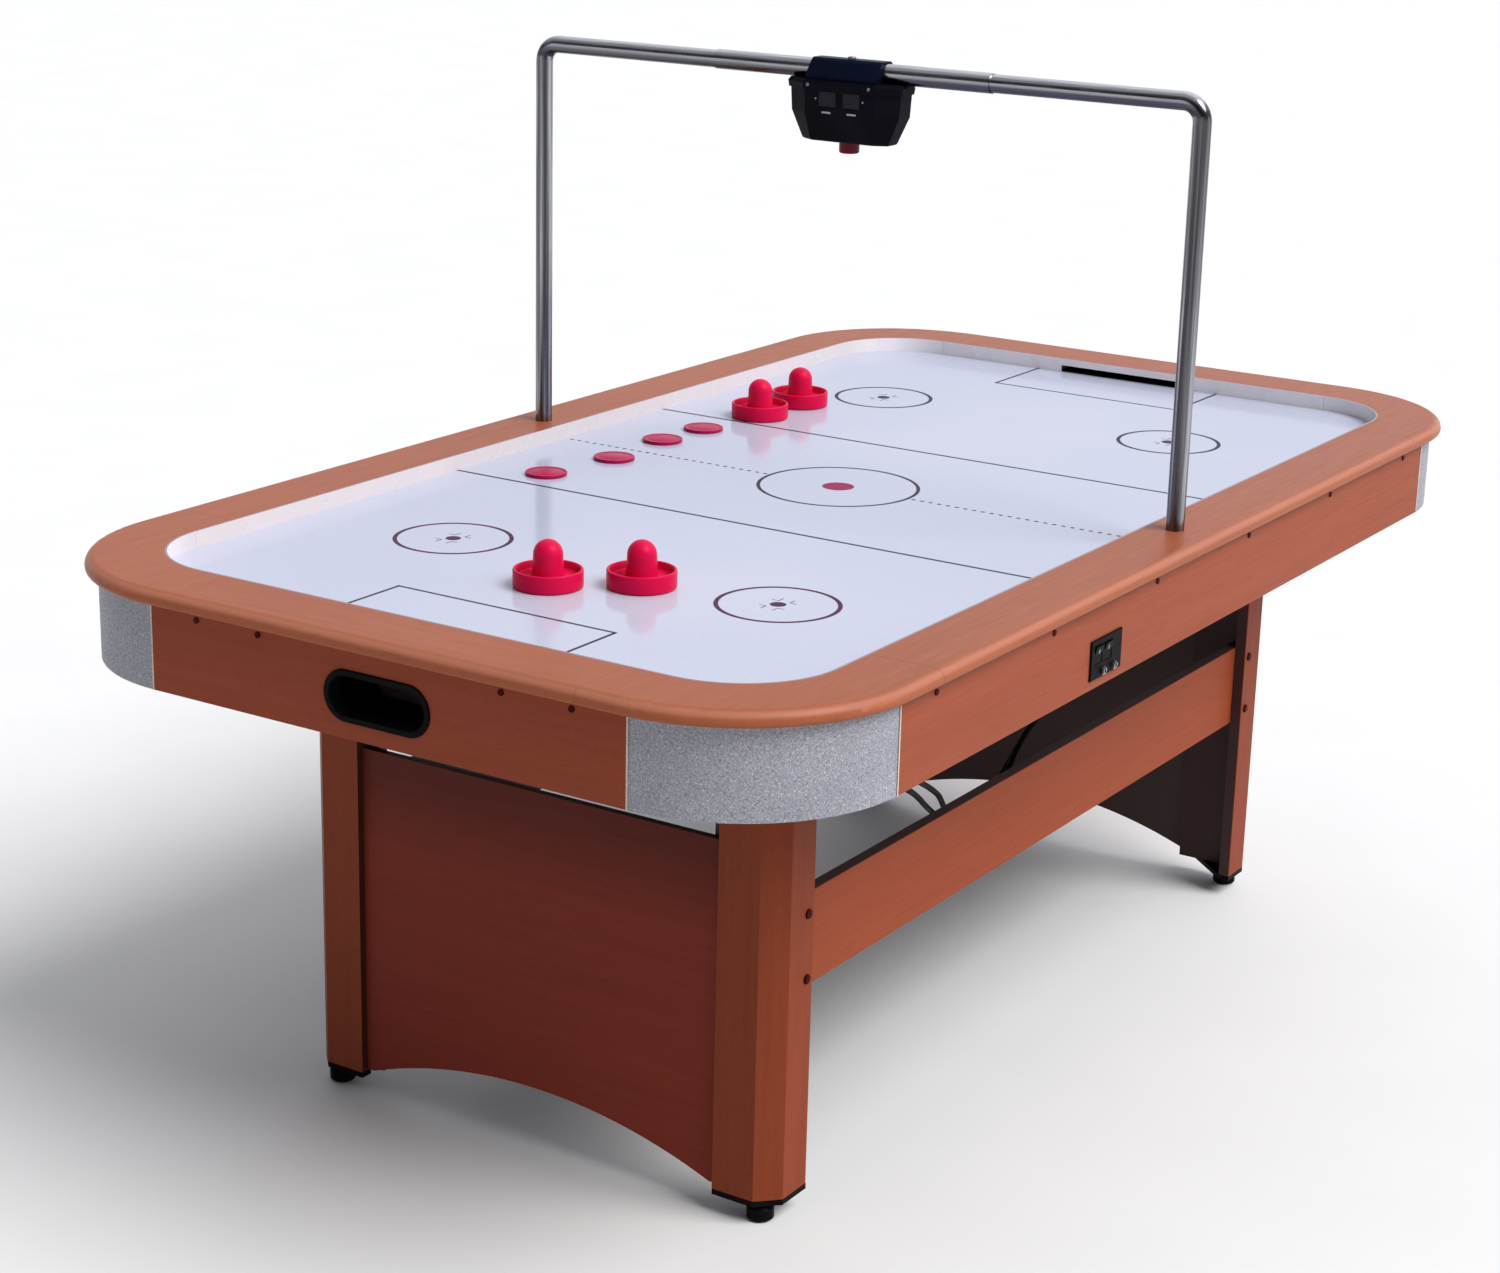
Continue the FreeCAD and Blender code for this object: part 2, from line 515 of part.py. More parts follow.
def make_scorer():
    rim = Part.makeLoft([tub_outline(SCORER_TOP - 14, 93, 59, 34, 16),
                         tub_outline(SCORER_TOP - 5, 94, 59.5, 35, 17),
                         tub_outline(SCORER_TOP, 91, 57, 32, 14)], True, True)
    base = SCORER_TOP - SCORER_H
    outer = soften(tub(0), 5.0, at_height(base))
    shell = outer.fuse(rim).cut(tub(SCORER_WALL))
    shell = shell.cut(cylinder(0, -150, GANTRY_Z, SLEEVE_R + 0.4, 300, V(0, 1, 0)))
    shell = shell.cut(cylinder(0, 0, base - 6, BUTTON_R + 0.5, 12))
    windows = []
    low = SCORER_TOP - 36
    high = SCORER_TOP - 16
    for sx in (-1, 1):
        for y in (-19.5, 19.5):
            lens = box(28.5, 32.4, y - 13.5, y + 13.5, low, high)
            hole = box(28.5, 39.0, y - 13.7, y + 13.7, low - 0.2, high + 0.2)
            if sx < 0:
                lens = mirror_x(lens)
                hole = mirror_x(hole)
            shell = shell.cut(hole)
            windows.append(lens)
    front = shell.common(box(-60, -0.05, -120, 120, base - 10, SCORER_TOP + 40))
    back = shell.common(box(0.05, 60, -120, 120, base - 10, SCORER_TOP + 40))
    save("scorer_front_shell", front)
    save("scorer_back_shell", back)
    save("scorer_windows", group(windows))

    board = box(-0.8, 0.8, -62, 62, base + 16, SCORER_TOP - 12)
    parts = [box(-14, -1, y - 12, y + 12, low + 1, high - 1) for y in (-19.5, 19.5)]
    parts += [box(1, 14, y - 12, y + 12, low + 1, high - 1) for y in (-19.5, 19.5)]
    digits = [p.translated(V(-0.2 if p.BoundBox.XMin < 0 else 0.2, 0, 0)) for p in parts]
    save("scorer_board", group([board] + digits))

    cap = cylinder(0, 0, base - 16, BUTTON_R, 22)
    cap = soften(cap, 3.0, at_height(base - 16))
    flange = cylinder(0, 0, base + 4, BUTTON_R + 3, 2)
    save("scorer_button", cap.fuse(flange))

    top = SCORER_TOP + 29
    half = 57.0
    z0 = SCORER_TOP + 0.05
    profile = [V(-30, -half, z0), V(-32, -half, z0 + 5), V(-15, -half, top - 3), V(-11, -half, top),
               V(11, -half, top), V(15, -half, top - 3), V(32, -half, z0 + 5), V(30, -half, z0)]
    clamp = polygon(profile).extrude(V(0, 2 * half, 0))
    clamp = clamp.cut(cylinder(0, -half - 1, GANTRY_Z, SLEEVE_R + 0.2, 2 * half + 2, V(0, 1, 0)))
    save("scorer_clamp", clamp)

    bolt = cylinder(0, 0, top + 0.05, 6.0, 3.0)
    bolt = soften(bolt, 1.4, at_height(top + 3.05))
    screws = [bolt]
    for sx in (-1, 1):
        for y in (-50, 50):
            screws.append(cylinder(sx * 35.05, y, SCORER_TOP - 7, 2.6, 1.6, V(sx, 0, 0)))
    save("scorer_screws", group(screws))


# ------------------------------------------------------------------ switch plate and blower

def make_power():
    """Moulded plate with a box behind it, two rocker switches and two jacks."""
    y0 = -APRON_HY
    plate = box(PLATE_X - PLATE_W / 2, PLATE_X + PLATE_W / 2, y0 - 3, y0 - 0.05,
                PLATE_Z - PLATE_H / 2, PLATE_Z + PLATE_H / 2)
    plate = soften(plate, 1.2, lambda e: e.BoundBox.YMax < y0 - 2.9)
    outer = box(PLATE_X - 37.5, PLATE_X + 37.5, y0 - 1, y0 + 30, PLATE_Z - 25, PLATE_Z + 25)
    inner = box(PLATE_X - 36, PLATE_X + 36, y0, y0 + 28, PLATE_Z - 23.5, PLATE_Z + 23.5)
    plate = plate.fuse(outer).cut(inner)
    for x in ROCKERS_X:
        plate = plate.cut(box(x - 10.5, x + 10.5, y0 - 5, y0 + 1, ROCKER_Z - 12.6, ROCKER_Z + 12.6))
    jacks = []
    for x in JACKS_X:
        plate = plate.cut(cylinder(x, y0 - 5, JACK_Z, 4.7, 10, V(0, 1, 0)))
        barrel = cylinder(x, y0 - 7, JACK_Z, 4.5, 22, V(0, 1, 0))
        collar = cylinder(x, y0 - 5, JACK_Z, 5.6, 1.9, V(0, 1, 0))
        barrel = barrel.fuse(collar).cut(cylinder(x, y0 - 8, JACK_Z, 2.75, 12, V(0, 1, 0)))
        jacks.append(barrel)
    save("power_plate", plate)
    save("power_jacks", group(jacks))

    for name, x in zip(("rocker_left", "rocker_right"), ROCKERS_X):
        profile = [(-4, 12), (-2.6, 0), (-4, -12), (2, -11), (8, 0), (2, 11)]
        side = polygon([V(x - 10, y0 + dy, ROCKER_Z + dz) for dy, dz in profile])
        rocker = side.extrude(V(20, 0, 0))
        rocker.rotate(V(x, y0, ROCKER_Z), V(1, 0, 0), ROCKER_TILT)
        save(name, rocker)


def make_blower():
    """Centrifugal blower under the plenum floor: housing with a grille, motor, impeller on its shaft."""
    z0, z1 = BLOWER_Z
    height = z1 - z0
    housing = cylinder(0, 0, z0, BLOWER_R, height)
    housing = housing.cut(cylinder(0, 0, z0 + 2.5, BLOWER_R - 2.5, height))
    flange = cylinder(0, 0, z1 - 3, BLOWER_R + 14, 2.95).cut(cylinder(0, 0, z1 - 4, BLOWER_R - 1, 6))
    housing = housing.common(cylinder(0, 0, z0, BLOWER_R, height - 0.05)).fuse(flange)
    for ring in ((38, 50), (54, 66), (70, 82)):
        slot = cylinder(0, 0, z0 - 1, ring[1], 5).cut(cylinder(0, 0, z0 - 2, ring[0], 7))
        for turn in range(3):
            bar = box(-BLOWER_R, BLOWER_R, -3, 3, z0 - 3, z0 + 6)
            bar.rotate(V(0, 0, 0), V(0, 0, 1), 60 * turn)
            slot = slot.cut(bar)
        housing = housing.cut(slot)
    save("blower_housing", housing)

    motor = cylinder(0, 0, z0 + 2.6, 31, 36)
    motor = soften(motor, 3, at_height(z0 + 38.6))
    motor = motor.cut(cylinder(0, 0, z0 + 10, SHAFT_R + 0.08, 60))
    save("blower_motor", motor)

    wheel = cylinder(0, 0, z0 + 44, 76, 2.5)
    wheel = wheel.fuse([cylinder(0, 0, z0 + 42, 10, 14), cylinder(0, 0, z0 + 12, SHAFT_R, 40)])
    blades = []
    count = 16
    for i in range(count):
        blade = box(44, 75, -0.9, 0.9, z0 + 12, z0 + 45)
        blade.rotate(V(60, 0, 0), V(0, 0, 1), 30)
        blade.rotate(V(0, 0, 0), V(0, 0, 1), 360.0 / count * i)
        blades.append(blade)
    rim = cylinder(0, 0, z0 + 12, 77, 2.5).cut(cylinder(0, 0, z0 + 10, 58, 6))
    save("blower_impeller", wheel.fuse(blades + [rim]))


# ------------------------------------------------------------------ playing pieces

def pusher_profile():
    """Half section of a pusher: a rimmed dish with a domed, slightly tapered knob in the middle."""
    line = Part.makeLine
    arc = lambda a, b, c: Part.Arc(a, b, c).toShape()
    r = PUSHER_R
    k = KNOB_R
    d = k / math.sqrt(2)
    cx = PUSHER_H - k
    e = 2.0
    q = e / math.sqrt(2)
    lip = RIM_H - e
    return [line(V(0, 0, 0), V(r - 3, 0, 0)), line(V(r - 3, 0, 0), V(r, 0, 3)),
            line(V(r, 0, 3), V(r, 0, lip)),
            arc(V(r, 0, lip), V(r - e + q, 0, lip + q), V(r - e, 0, RIM_H)),
            arc(V(r - e, 0, RIM_H), V(r - e - q, 0, lip + q), V(r - 2 * e, 0, lip)),
            line(V(r - 2 * e, 0, lip), V(r - 6, 0, DISH_Z)),
            line(V(r - 6, 0, DISH_Z), V(k + 1.5, 0, DISH_Z)),
            line(V(k + 1.5, 0, DISH_Z), V(k, 0, cx)), arc(V(k, 0, cx), V(d, 0, cx + d), V(0, 0, PUSHER_H)),
            line(V(0, 0, PUSHER_H), V(0, 0, 0))]


def make_playing_pieces():
    pusher = face_of(pusher_profile()).revolve(V(0, 0, 0), V(0, 0, 1), 360)
    z = FIELD_Z + GLIDE
    for name, (x, y) in PUSHERS.items():
        save(name, pusher.translated(V(x, y, z)))
    puck = cylinder(0, 0, 0, PUCK_R, PUCK_T)
    puck = soften(puck, 1.0, lambda e: e.Length > 100)
    for name, (x, y) in PUCKS.items():
        save(name, puck.translated(V(x, y, z)))


# ------------------------------------------------------------------ leads

def lead(name, points):
    """Round lead along straight runs joined by tangent arcs as large as the runs allow."""
    pts = [V(*p) for p in points]
    edges = []
    radii = []
    last = pts[0]
    for before, here, after in zip(pts, pts[1:], pts[2:]):
        u = (here - before).normalize()
        w = (after - here).normalize()
        turn = u.getAngle(w)
        cut = 0.45 * min((here - before).Length, (after - here).Length)
        radii.append(cut / math.tan(turn / 2))
        a = here - u * cut
        c = here + w * cut
        bisector = (w - u).normalize()
        middle = here + bisector * (radii[-1] / math.cos(turn / 2) - radii[-1])
        edges.append(Part.makeLine(last, a))
        edges.append(Part.Arc(a, middle, c).toShape())
        last = c
    edges.append(Part.makeLine(last, pts[-1]))
    path = Part.Wire(edges)
    section = Part.Wire(Part.Circle(pts[0], (pts[1] - pts[0]).normalize(), LEAD_R).toShape())
    tube = path.makePipeShell([section], True, False)
    print("  %s radii %s" % (name, " ".join("%.0f" % r for r in radii)))
    print("  %s length %.0f  volume ratio %.4f"
          % (name, path.Length, tube.Volume / (path.Length * math.pi * LEAD_R ** 2)))
    save(name, tube)


def main():
    os.makedirs("parts", exist_ok=True)
    make_rails()
    make_rink_walls()
    make_playfield()
    make_plenum()
    make_aprons()
    make_corner_covers()
    make_goals()
    make_posts()
    make_levellers()
    make_panels()
    make_stretchers()
    make_bearers()
    make_gantry()
    make_scorer()
    make_power()
    make_blower()
    make_playing_pieces()
    lead("sensor_lead_1", LEAD_A)
    lead("sensor_lead_2", LEAD_B)


main()
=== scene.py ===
import math

import bpy
from mathutils import Matrix, Vector
from mathutils.bvhtree import BVHTree


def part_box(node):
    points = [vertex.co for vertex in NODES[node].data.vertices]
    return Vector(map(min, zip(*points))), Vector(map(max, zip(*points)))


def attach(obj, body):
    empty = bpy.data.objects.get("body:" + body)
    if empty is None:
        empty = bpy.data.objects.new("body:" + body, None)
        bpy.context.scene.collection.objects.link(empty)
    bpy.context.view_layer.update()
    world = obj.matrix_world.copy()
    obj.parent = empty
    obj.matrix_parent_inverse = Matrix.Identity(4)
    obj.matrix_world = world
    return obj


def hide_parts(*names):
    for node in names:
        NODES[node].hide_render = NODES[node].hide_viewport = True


# Looks of the air hockey table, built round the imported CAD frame.  Metres, same axes as the frame.

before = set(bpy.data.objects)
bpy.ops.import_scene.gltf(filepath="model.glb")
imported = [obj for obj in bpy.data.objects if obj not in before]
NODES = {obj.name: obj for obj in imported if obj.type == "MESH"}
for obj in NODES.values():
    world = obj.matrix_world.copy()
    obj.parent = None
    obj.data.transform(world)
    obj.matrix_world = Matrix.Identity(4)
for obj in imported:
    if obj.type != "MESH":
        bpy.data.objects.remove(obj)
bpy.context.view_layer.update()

# ------------------------------------------------------------------ camera

CAMERA_AT = Vector((-3.5475, -2.1271, 1.7954))
CAMERA_YAW = 0.570
CAMERA_PITCH = -0.296
CAMERA_ROLL = 0.024
LENS_MM = 69.88
SENSOR_MM = 36.0
FARTHEST_SEEN = 4000.0


def make_camera():
    """Camera from its heading, pitch and roll."""
    cp, sp = math.cos(CAMERA_PITCH), math.sin(CAMERA_PITCH)
    cy, sy = math.cos(CAMERA_YAW), math.sin(CAMERA_YAW)
    ahead = Vector((cp * cy, cp * sy, sp))
    level = Vector((sy, -cy, 0.0))
    above = level.cross(ahead)
    right = level * math.cos(CAMERA_ROLL) + above * math.sin(CAMERA_ROLL)
    up = above * math.cos(CAMERA_ROLL) - level * math.sin(CAMERA_ROLL)
    data = bpy.data.cameras.new("camera")
    data.lens = LENS_MM
    data.sensor_width = SENSOR_MM
    data.clip_end = FARTHEST_SEEN
    camera = bpy.data.objects.new("camera", data)
    turn = Matrix((right, up, -ahead)).transposed().to_4x4()
    camera.matrix_world = Matrix.Translation(CAMERA_AT) @ turn
    bpy.context.scene.collection.objects.link(camera)
    bpy.context.scene.camera = camera


# ------------------------------------------------------------------ node helpers

def is_socket(value):
    return isinstance(value, bpy.types.NodeSocket)


class Nodes:
    """A node tree being built: a value given as a socket is linked, any other is set."""

    def __init__(self, tree):
        self.tree = tree

    def node(self, kind, inputs=(), **attributes):
        made = self.tree.nodes.new(kind)
        for key, value in attributes.items():
            setattr(made, key, value)
        for key, value in dict(inputs).items():
            if is_socket(value):
                self.tree.links.new(value, made.inputs[key])
            else:
                made.inputs[key].default_value = value
        return made

    def ramp(self, factor, stops):
        """Colour or grey level that runs straight from stop to stop."""
        made = self.node("ShaderNodeValToRGB", {"Fac": factor})
        band = made.color_ramp
        while len(band.elements) < len(stops):
            band.elements.new(0.5)
        for element, (at, colour) in zip(band.elements, stops):
            element.position = at
            if not hasattr(colour, "__len__"):
                colour = (colour, colour, colour)
            element.color = (*colour, 1.0)
        return made.outputs["Color"]

    def mix(self, factor, a, b, blend="MIX"):
        """Mixes two colours; the Mix node's colour sockets are numbered, as their names repeat."""
        made = self.node("ShaderNodeMix", {0: factor}, data_type="RGBA", blend_type=blend)
        for index, value in ((6, a), (7, b)):
            if is_socket(value):
                self.tree.links.new(value, made.inputs[index])
            else:
                made.inputs[index].default_value = (*value, 1.0)
        return made.outputs[2]

    def maths(self, operation, a, b=0.0, c=0.0):
        return self.node("ShaderNodeMath", {0: a, 1: b, 2: c}, operation=operation).outputs[0]

    def vectors(self, operation, a, b=(0.0, 0.0, 0.0)):
        return self.node("ShaderNodeVectorMath", {0: a, 1: b}, operation=operation)

    def part_of(self, vector, axis):
        return self.node("ShaderNodeSeparateXYZ", {0: vector}).outputs[axis]


class Shader(Nodes):
    """A material being built on its Principled BSDF."""

    def __init__(self, name, roughness, **values):
        self.material = bpy.data.materials.new(name)
        self.material.use_nodes = True
        super().__init__(self.material.node_tree)
        self.bsdf = self.tree.nodes["Principled BSDF"]
        self.set("Roughness", roughness)
        for key, value in values.items():
            self.set(key.replace("_", " "), value)
        self.place = self.node("ShaderNodeTexCoord").outputs["Object"]

    def set(self, socket, value):
        if is_socket(value):
            self.tree.links.new(value, self.bsdf.inputs[socket])
        else:
            self.bsdf.inputs[socket].default_value = value

    def fed_by(self, socket):
        return self.bsdf.inputs[socket].links[0].from_socket

    def normal(self, axis):
        return self.part_of(self.node("ShaderNodeNewGeometry").outputs["Normal"], axis)

    def stretched(self, scale, turn=(0.0, 0.0, 0.0)):
        inputs = {"Vector": self.place, "Scale": scale, "Rotation": turn}
        return self.node("ShaderNodeMapping", inputs).outputs["Vector"]

    def noise(self, scale, detail=4.0, rough=0.55, place=None, distortion=0.0):
        made = self.node("ShaderNodeTexNoise", {
            "Vector": place or self.place, "Scale": scale, "Detail": detail,
            "Roughness": rough, "Distortion": distortion})
        return made.outputs["Fac"]

    def bump(self, height, strength, distance):
        made = self.node("ShaderNodeBump",
                         {"Height": height, "Strength": strength, "Distance": distance})
        self.set("Normal", made.outputs["Normal"])


# ------------------------------------------------------------------ materials

ALONG = {"x": (1.0, 22.0, 22.0), "y": (22.0, 1.0, 22.0), "z": (22.0, 22.0, 1.0)}
HOLE_PITCH = 0.0254             # the playfield's air holes stand on an inch grid
PAINTED_SHADE_DEPTH = 0.16              # how far down an end panel its painted shade under the apron reaches


def shade(colour, factor):
    return tuple(min(1.0, c * factor) for c in colour)


def cherry(name, along, colour, roughness=0.46, gloss=0.08):
    """Printed cherry laminate: streaks along one axis, fine speckle, short pores, slow tone."""
    s = Shader(name, roughness, Specular_IOR_Level=gloss)
    grain = s.stretched(ALONG[along])
    streak = s.noise(3.0, 5.0, 0.62, grain, 0.35)
    fibre = s.noise(15.0, 3.0, 0.7, grain)
    tone = s.noise(1.7, 2.0, 0.5)
    speckle = s.noise(620.0, 2.0, 0.7)
    body = s.ramp(streak, [(0.28, shade(colour, 0.88)), (0.50, colour),
                           (0.74, shade(colour, 1.09))])
    body = s.mix(s.ramp(fibre, [(0.40, 0.0), (0.66, 0.28)]), body, shade(colour, 0.78))
    body = s.mix(s.ramp(tone, [(0.35, 0.0), (0.65, 0.35)]), body, shade(colour, 1.08))
    flecks = s.ramp(speckle, [(0.36, 0.0), (0.50, 0.16), (0.66, 0.42)])
    body = s.mix(flecks, body, shade(colour, 0.72))
    short = tuple(3.5 if scale > 1 else 0.45 for scale in ALONG[along])
    pore = s.ramp(s.noise(70.0, 1.0, 0.5, s.stretched(short)), [(0.67, 0.0), (0.73, 1.0)])
    s.set("Base Color", s.mix(s.maths("MULTIPLY", pore, 0.22), body, shade(colour, 0.5)))
    s.set("Roughness", s.ramp(fibre, [(0.3, roughness - 0.04), (0.7, roughness + 0.07)]))
    s.bump(s.maths("SUBTRACT", fibre, pore), 0.10, 0.0004)
    return s


def wood(name, along, colour):
    return cherry(name, along, colour).material


def panel_wood(name, along, colour, box):
    """The end panels' laminate, with painted shade darkening it towards the top edge, under the
    apron.
    """
    s = cherry(name, along, colour)
    top = box[1].z
    # Painted shade: the colour is multiplied darker towards the top edge, under the apron's
    # overhang.
    painted_shade = s.node("ShaderNodeMapRange", {
        "Value": s.part_of(s.place, "Z"), "From Min": top - PAINTED_SHADE_DEPTH, "From Max": top},
        interpolation_type="SMOOTHSTEP").outputs["Result"]
    s.set("Base Color", s.mix(painted_shade, s.fed_by("Base Color"), (0.50, 0.58, 0.70), "MULTIPLY"))
    return s.material


def rail_wood(name, along, colour):
    """The rail's laminate, with a paler painted sheen mixed into its colour where its bullnose turns
    over.
    """
    s = cherry(name, along, colour, 0.34, 0.10)
    # Painted sheen: where the bullnose leans outwards its colour is mixed towards a pale pink, as a
    # highlight.
    painted_sheen = s.ramp(s.normal("Z"), [(0.25, 0.0), (0.55, 0.26), (0.80, 0.26), (0.97, 0.0)])
    s.set("Base Color", s.mix(painted_sheen, s.fed_by("Base Color"), (0.58, 0.29, 0.22)))
    return s.material


def rink_wall(name, along, across, top):
    """White laminate of the rink's walls: painted light makes it paler where it faces along the
    table, painted shade makes it grey on top.
    """
    s = Shader(name, 0.26, Coat_Weight=0.25, Coat_Roughness=0.10)
    flow = s.noise(14.0, 3.0, 0.5, distortion=0.6)
    # Painted light: faces that look along the table, the end walls, are mixed towards the paler
    # colour given as along.
    end_on_painted_light = s.ramp(s.maths("ABSOLUTE", s.normal("X")), [(0.10, 0.0), (0.95, 1.0)])
    white = s.mix(end_on_painted_light, across, along)
    # Painted shade: the walls' top faces along the rail's inner edge are mixed towards the grey
    # given as top.
    white = s.mix(s.ramp(s.normal("Z"), [(0.60, 0.0), (0.80, 1.0)]), white, top)
    faint = s.ramp(flow, [(0.35, 0.10), (0.75, 0.0)])
    s.set("Base Color", s.mix(faint, white, shade(across, 0.7)))
    s.set("Roughness", s.ramp(flow, [(0.3, 0.22), (0.7, 0.33)]))
    s.bump(s.noise(650.0, 2.0, 0.6), 0.05, 0.0003)
    return s.material


def plain_board(name, colour, roughness):
    """Unlaminated board edge or inner face: fibre fleck and pressed texture."""
    s = Shader(name, roughness)
    fleck = s.noise(420.0, 3.0, 0.7)
    cloud = s.noise(9.0, 3.0, 0.6)
    dark = shade(colour, 0.6)
    body = s.ramp(fleck, [(0.3, dark), (0.5, colour), (0.75, shade(colour, 1.3))])
    s.set("Base Color", s.mix(s.ramp(cloud, [(0.4, 0.0), (0.7, 0.3)]), body, dark))
    s.set("Roughness", s.ramp(fleck, [(0.3, roughness - 0.1), (0.7, roughness + 0.12)]))
    s.bump(fleck, 0.25, 0.0006)
    return s.material


def plastic(name, colour, roughness, gloss=0.5, grain=650.0, depth=0.10, spread=0.12):
    """Moulded plastic: fine spark-eroded grain, faint flow marks, slightly uneven sheen."""
    s = Shader(name, roughness, Specular_IOR_Level=gloss)
    fine = s.noise(grain, 2.0, 0.6)
    flow = s.noise(14.0, 3.0, 0.5, distortion=0.6)
    light = tuple(min(1.0, c * (1.0 + spread) + 0.004) for c in colour)
    body = [(0.35, shade(colour, 1.0 - spread)), (0.55, colour), (0.75, light)]
    s.set("Base Color", s.ramp(s.mix(0.35, flow, fine), body))
    s.set("Roughness", s.ramp(flow, [(0.3, max(0.04, roughness - 0.05)), (0.7, roughness + 0.06)]))
    s.bump(fine, depth, 0.0003)
    return s.material


def field_surface(name):
    """Glossy white laminate of the playfield with its grid of air holes; its blue tint is painted
    reflection of the sky, and the holes' dark insides are painted shade.
    """
    s = Shader(name, 0.13, Specular_IOR_Level=0.30, Coat_Weight=0.06, Coat_Roughness=0.04)
    cloud = s.noise(1.6, 2.0, 0.5)
    grid = s.vectors("DIVIDE", s.place, (HOLE_PITCH, HOLE_PITCH, 10.0)).outputs[0]
    cell = s.vectors("FRACTION", grid).outputs[0]
    away = s.vectors("SUBTRACT", cell, (0.5, 0.5, 0.5)).outputs[0]
    flat = s.vectors("MULTIPLY", away, (1.0, 1.0, 0.0)).outputs[0]
    hole = s.ramp(s.vectors("LENGTH", flat).outputs["Value"], [(0.016, 0.75), (0.026, 0.0)])
    # Painted reflection: the white is tinted blue for the sky it reflects.
    white = s.ramp(cloud, [(0.35, (0.438, 0.458, 0.580)), (0.65, (0.480, 0.490, 0.602))])
    # Painted shade: the air holes are mixed towards a dark grey for their shaded insides.
    s.set("Base Color", s.mix(hole, white, (0.10, 0.10, 0.13)))
    s.set("Roughness", s.ramp(s.noise(7.0, 3.0, 0.5), [(0.3, 0.10), (0.7, 0.17)]))
    s.bump(s.maths("MULTIPLY", hole, -1.0), 0.4, 0.0006)
    return s.material


def speckled(name):
    """Silver-grey textured sheet of the corner covers: pebbled, flecked, a little smudged."""
    s = Shader(name, 0.52, Specular_IOR_Level=0.25)
    pebble = s.node("ShaderNodeTexVoronoi", {"Vector": s.place, "Scale": 300.0}).outputs["Distance"]
    fleck = s.noise(380.0, 3.0, 0.75)
    spark = s.noise(520.0, 1.0, 0.6)
    cloud = s.noise(11.0, 3.0, 0.6)
    smudge = s.noise(17.0, 4.0, 0.65, distortion=0.8)
    body = s.ramp(fleck, [(0.30, (0.105, 0.105, 0.122)), (0.44, (0.228, 0.232, 0.266)),
                          (0.58, (0.295, 0.300, 0.340)), (0.74, (0.500, 0.505, 0.550))])
    body = s.mix(s.ramp(spark, [(0.61, 0.0), (0.70, 0.60)]), body, (0.64, 0.64, 0.68))
    body = s.mix(s.ramp(pebble, [(0.15, 0.25), (0.5, 0.0)]), body, (0.40, 0.40, 0.44))
    body = s.mix(s.ramp(cloud, [(0.40, 0.0), (0.70, 0.22)]), body, (0.17, 0.17, 0.20))
    body = s.mix(s.ramp(smudge, [(0.68, 0.0), (0.76, 0.45)]), body, (0.10, 0.10, 0.12))
    s.set("Base Color", body)
    s.set("Roughness", s.ramp(fleck, [(0.3, 0.62), (0.7, 0.42)]))
    s.bump(pebble, 0.35, 0.0005)
    return s.material


def drawn_out(along, on_axis, off_axis):
    """Scale for noise drawn out along one axis."""
    return tuple(on_axis if axis == along else off_axis for axis in "xyz")


def steel(name, along, colour, roughness):
    """Polished steel: broad dark and light bands along it painted in place of reflections, fine
    drawing lines, slight smears.
    """
    s = Shader(name, roughness, Metallic=1.0)
    # Painted reflection: broad bands from far darker to far lighter than the steel's colour, drawn
    # out along it.
    painted_reflection_bands = s.noise(14.0, 2.0, 0.5, s.stretched(drawn_out(along, 0.12, 10.0)))
    lines = s.noise(14.0, 2.0, 0.6, s.stretched(drawn_out(along, 1.0, 60.0)))
    smear = s.noise(26.0, 3.0, 0.6)
    body = s.ramp(painted_reflection_bands, [(0.36, shade(colour, 0.35)), (0.50, colour), (0.60, shade(colour, 2.6))])
    s.set("Base Color", s.mix(s.ramp(lines, [(0.40, 0.0), (0.65, 0.30)]), body, shade(colour, 0.5)))
    s.set("Roughness", s.ramp(smear, [(0.3, roughness - 0.06), (0.7, roughness + 0.08)]))
    s.bump(lines, 0.03, 0.0002)
    return s.material


def crossbar(name, box):
    """Polished steel of the crossbar, with painted light and shade: bright above, dull and darker
    below, fine lines along it.
    """
    s = Shader(name, 0.18, Metallic=1.0)
    low, high = box
    level = s.node("ShaderNodeMapRange", {
        "Value": s.part_of(s.place, "Z"), "From Min": low.z, "From Max": high.z}).outputs["Result"]
    lines = s.noise(14.0, 2.0, 0.6, s.stretched(drawn_out("y", 1.0, 60.0)))
    # Painted light and shade: the colour runs from dark at the crossbar's bottom to bright at its
    # top.
    body = s.ramp(level, [(0.10, (0.05, 0.05, 0.06)), (0.38, (0.14, 0.14, 0.16)),
                          (0.58, (0.46, 0.46, 0.49)), (0.90, (0.62, 0.62, 0.65))])
    s.set("Base Color", s.mix(s.ramp(lines, [(0.40, 0.0), (0.65, 0.35)]), body, (0.10, 0.10, 0.11)))
    s.set("Roughness", s.ramp(s.noise(26.0, 3.0, 0.6), [(0.3, 0.13), (0.7, 0.25)]))
    s.bump(lines, 0.03, 0.0002)
    return s.material


def ink(name, colour):
    """Screen-printed line on the field."""
    s = Shader(name, 0.42, Specular_IOR_Level=0.06)
    edge = s.noise(800.0, 2.0, 0.6)
    cloud = s.noise(20.0, 2.0, 0.5)
    light = tuple(c * 1.25 + 0.01 for c in colour)
    body = s.ramp(edge, [(0.35, colour), (0.7, light)])
    s.set("Base Color", s.mix(s.ramp(cloud, [(0.4, 0.0), (0.7, 0.25)]), body, shade(colour, 0.8)))
    return s.material


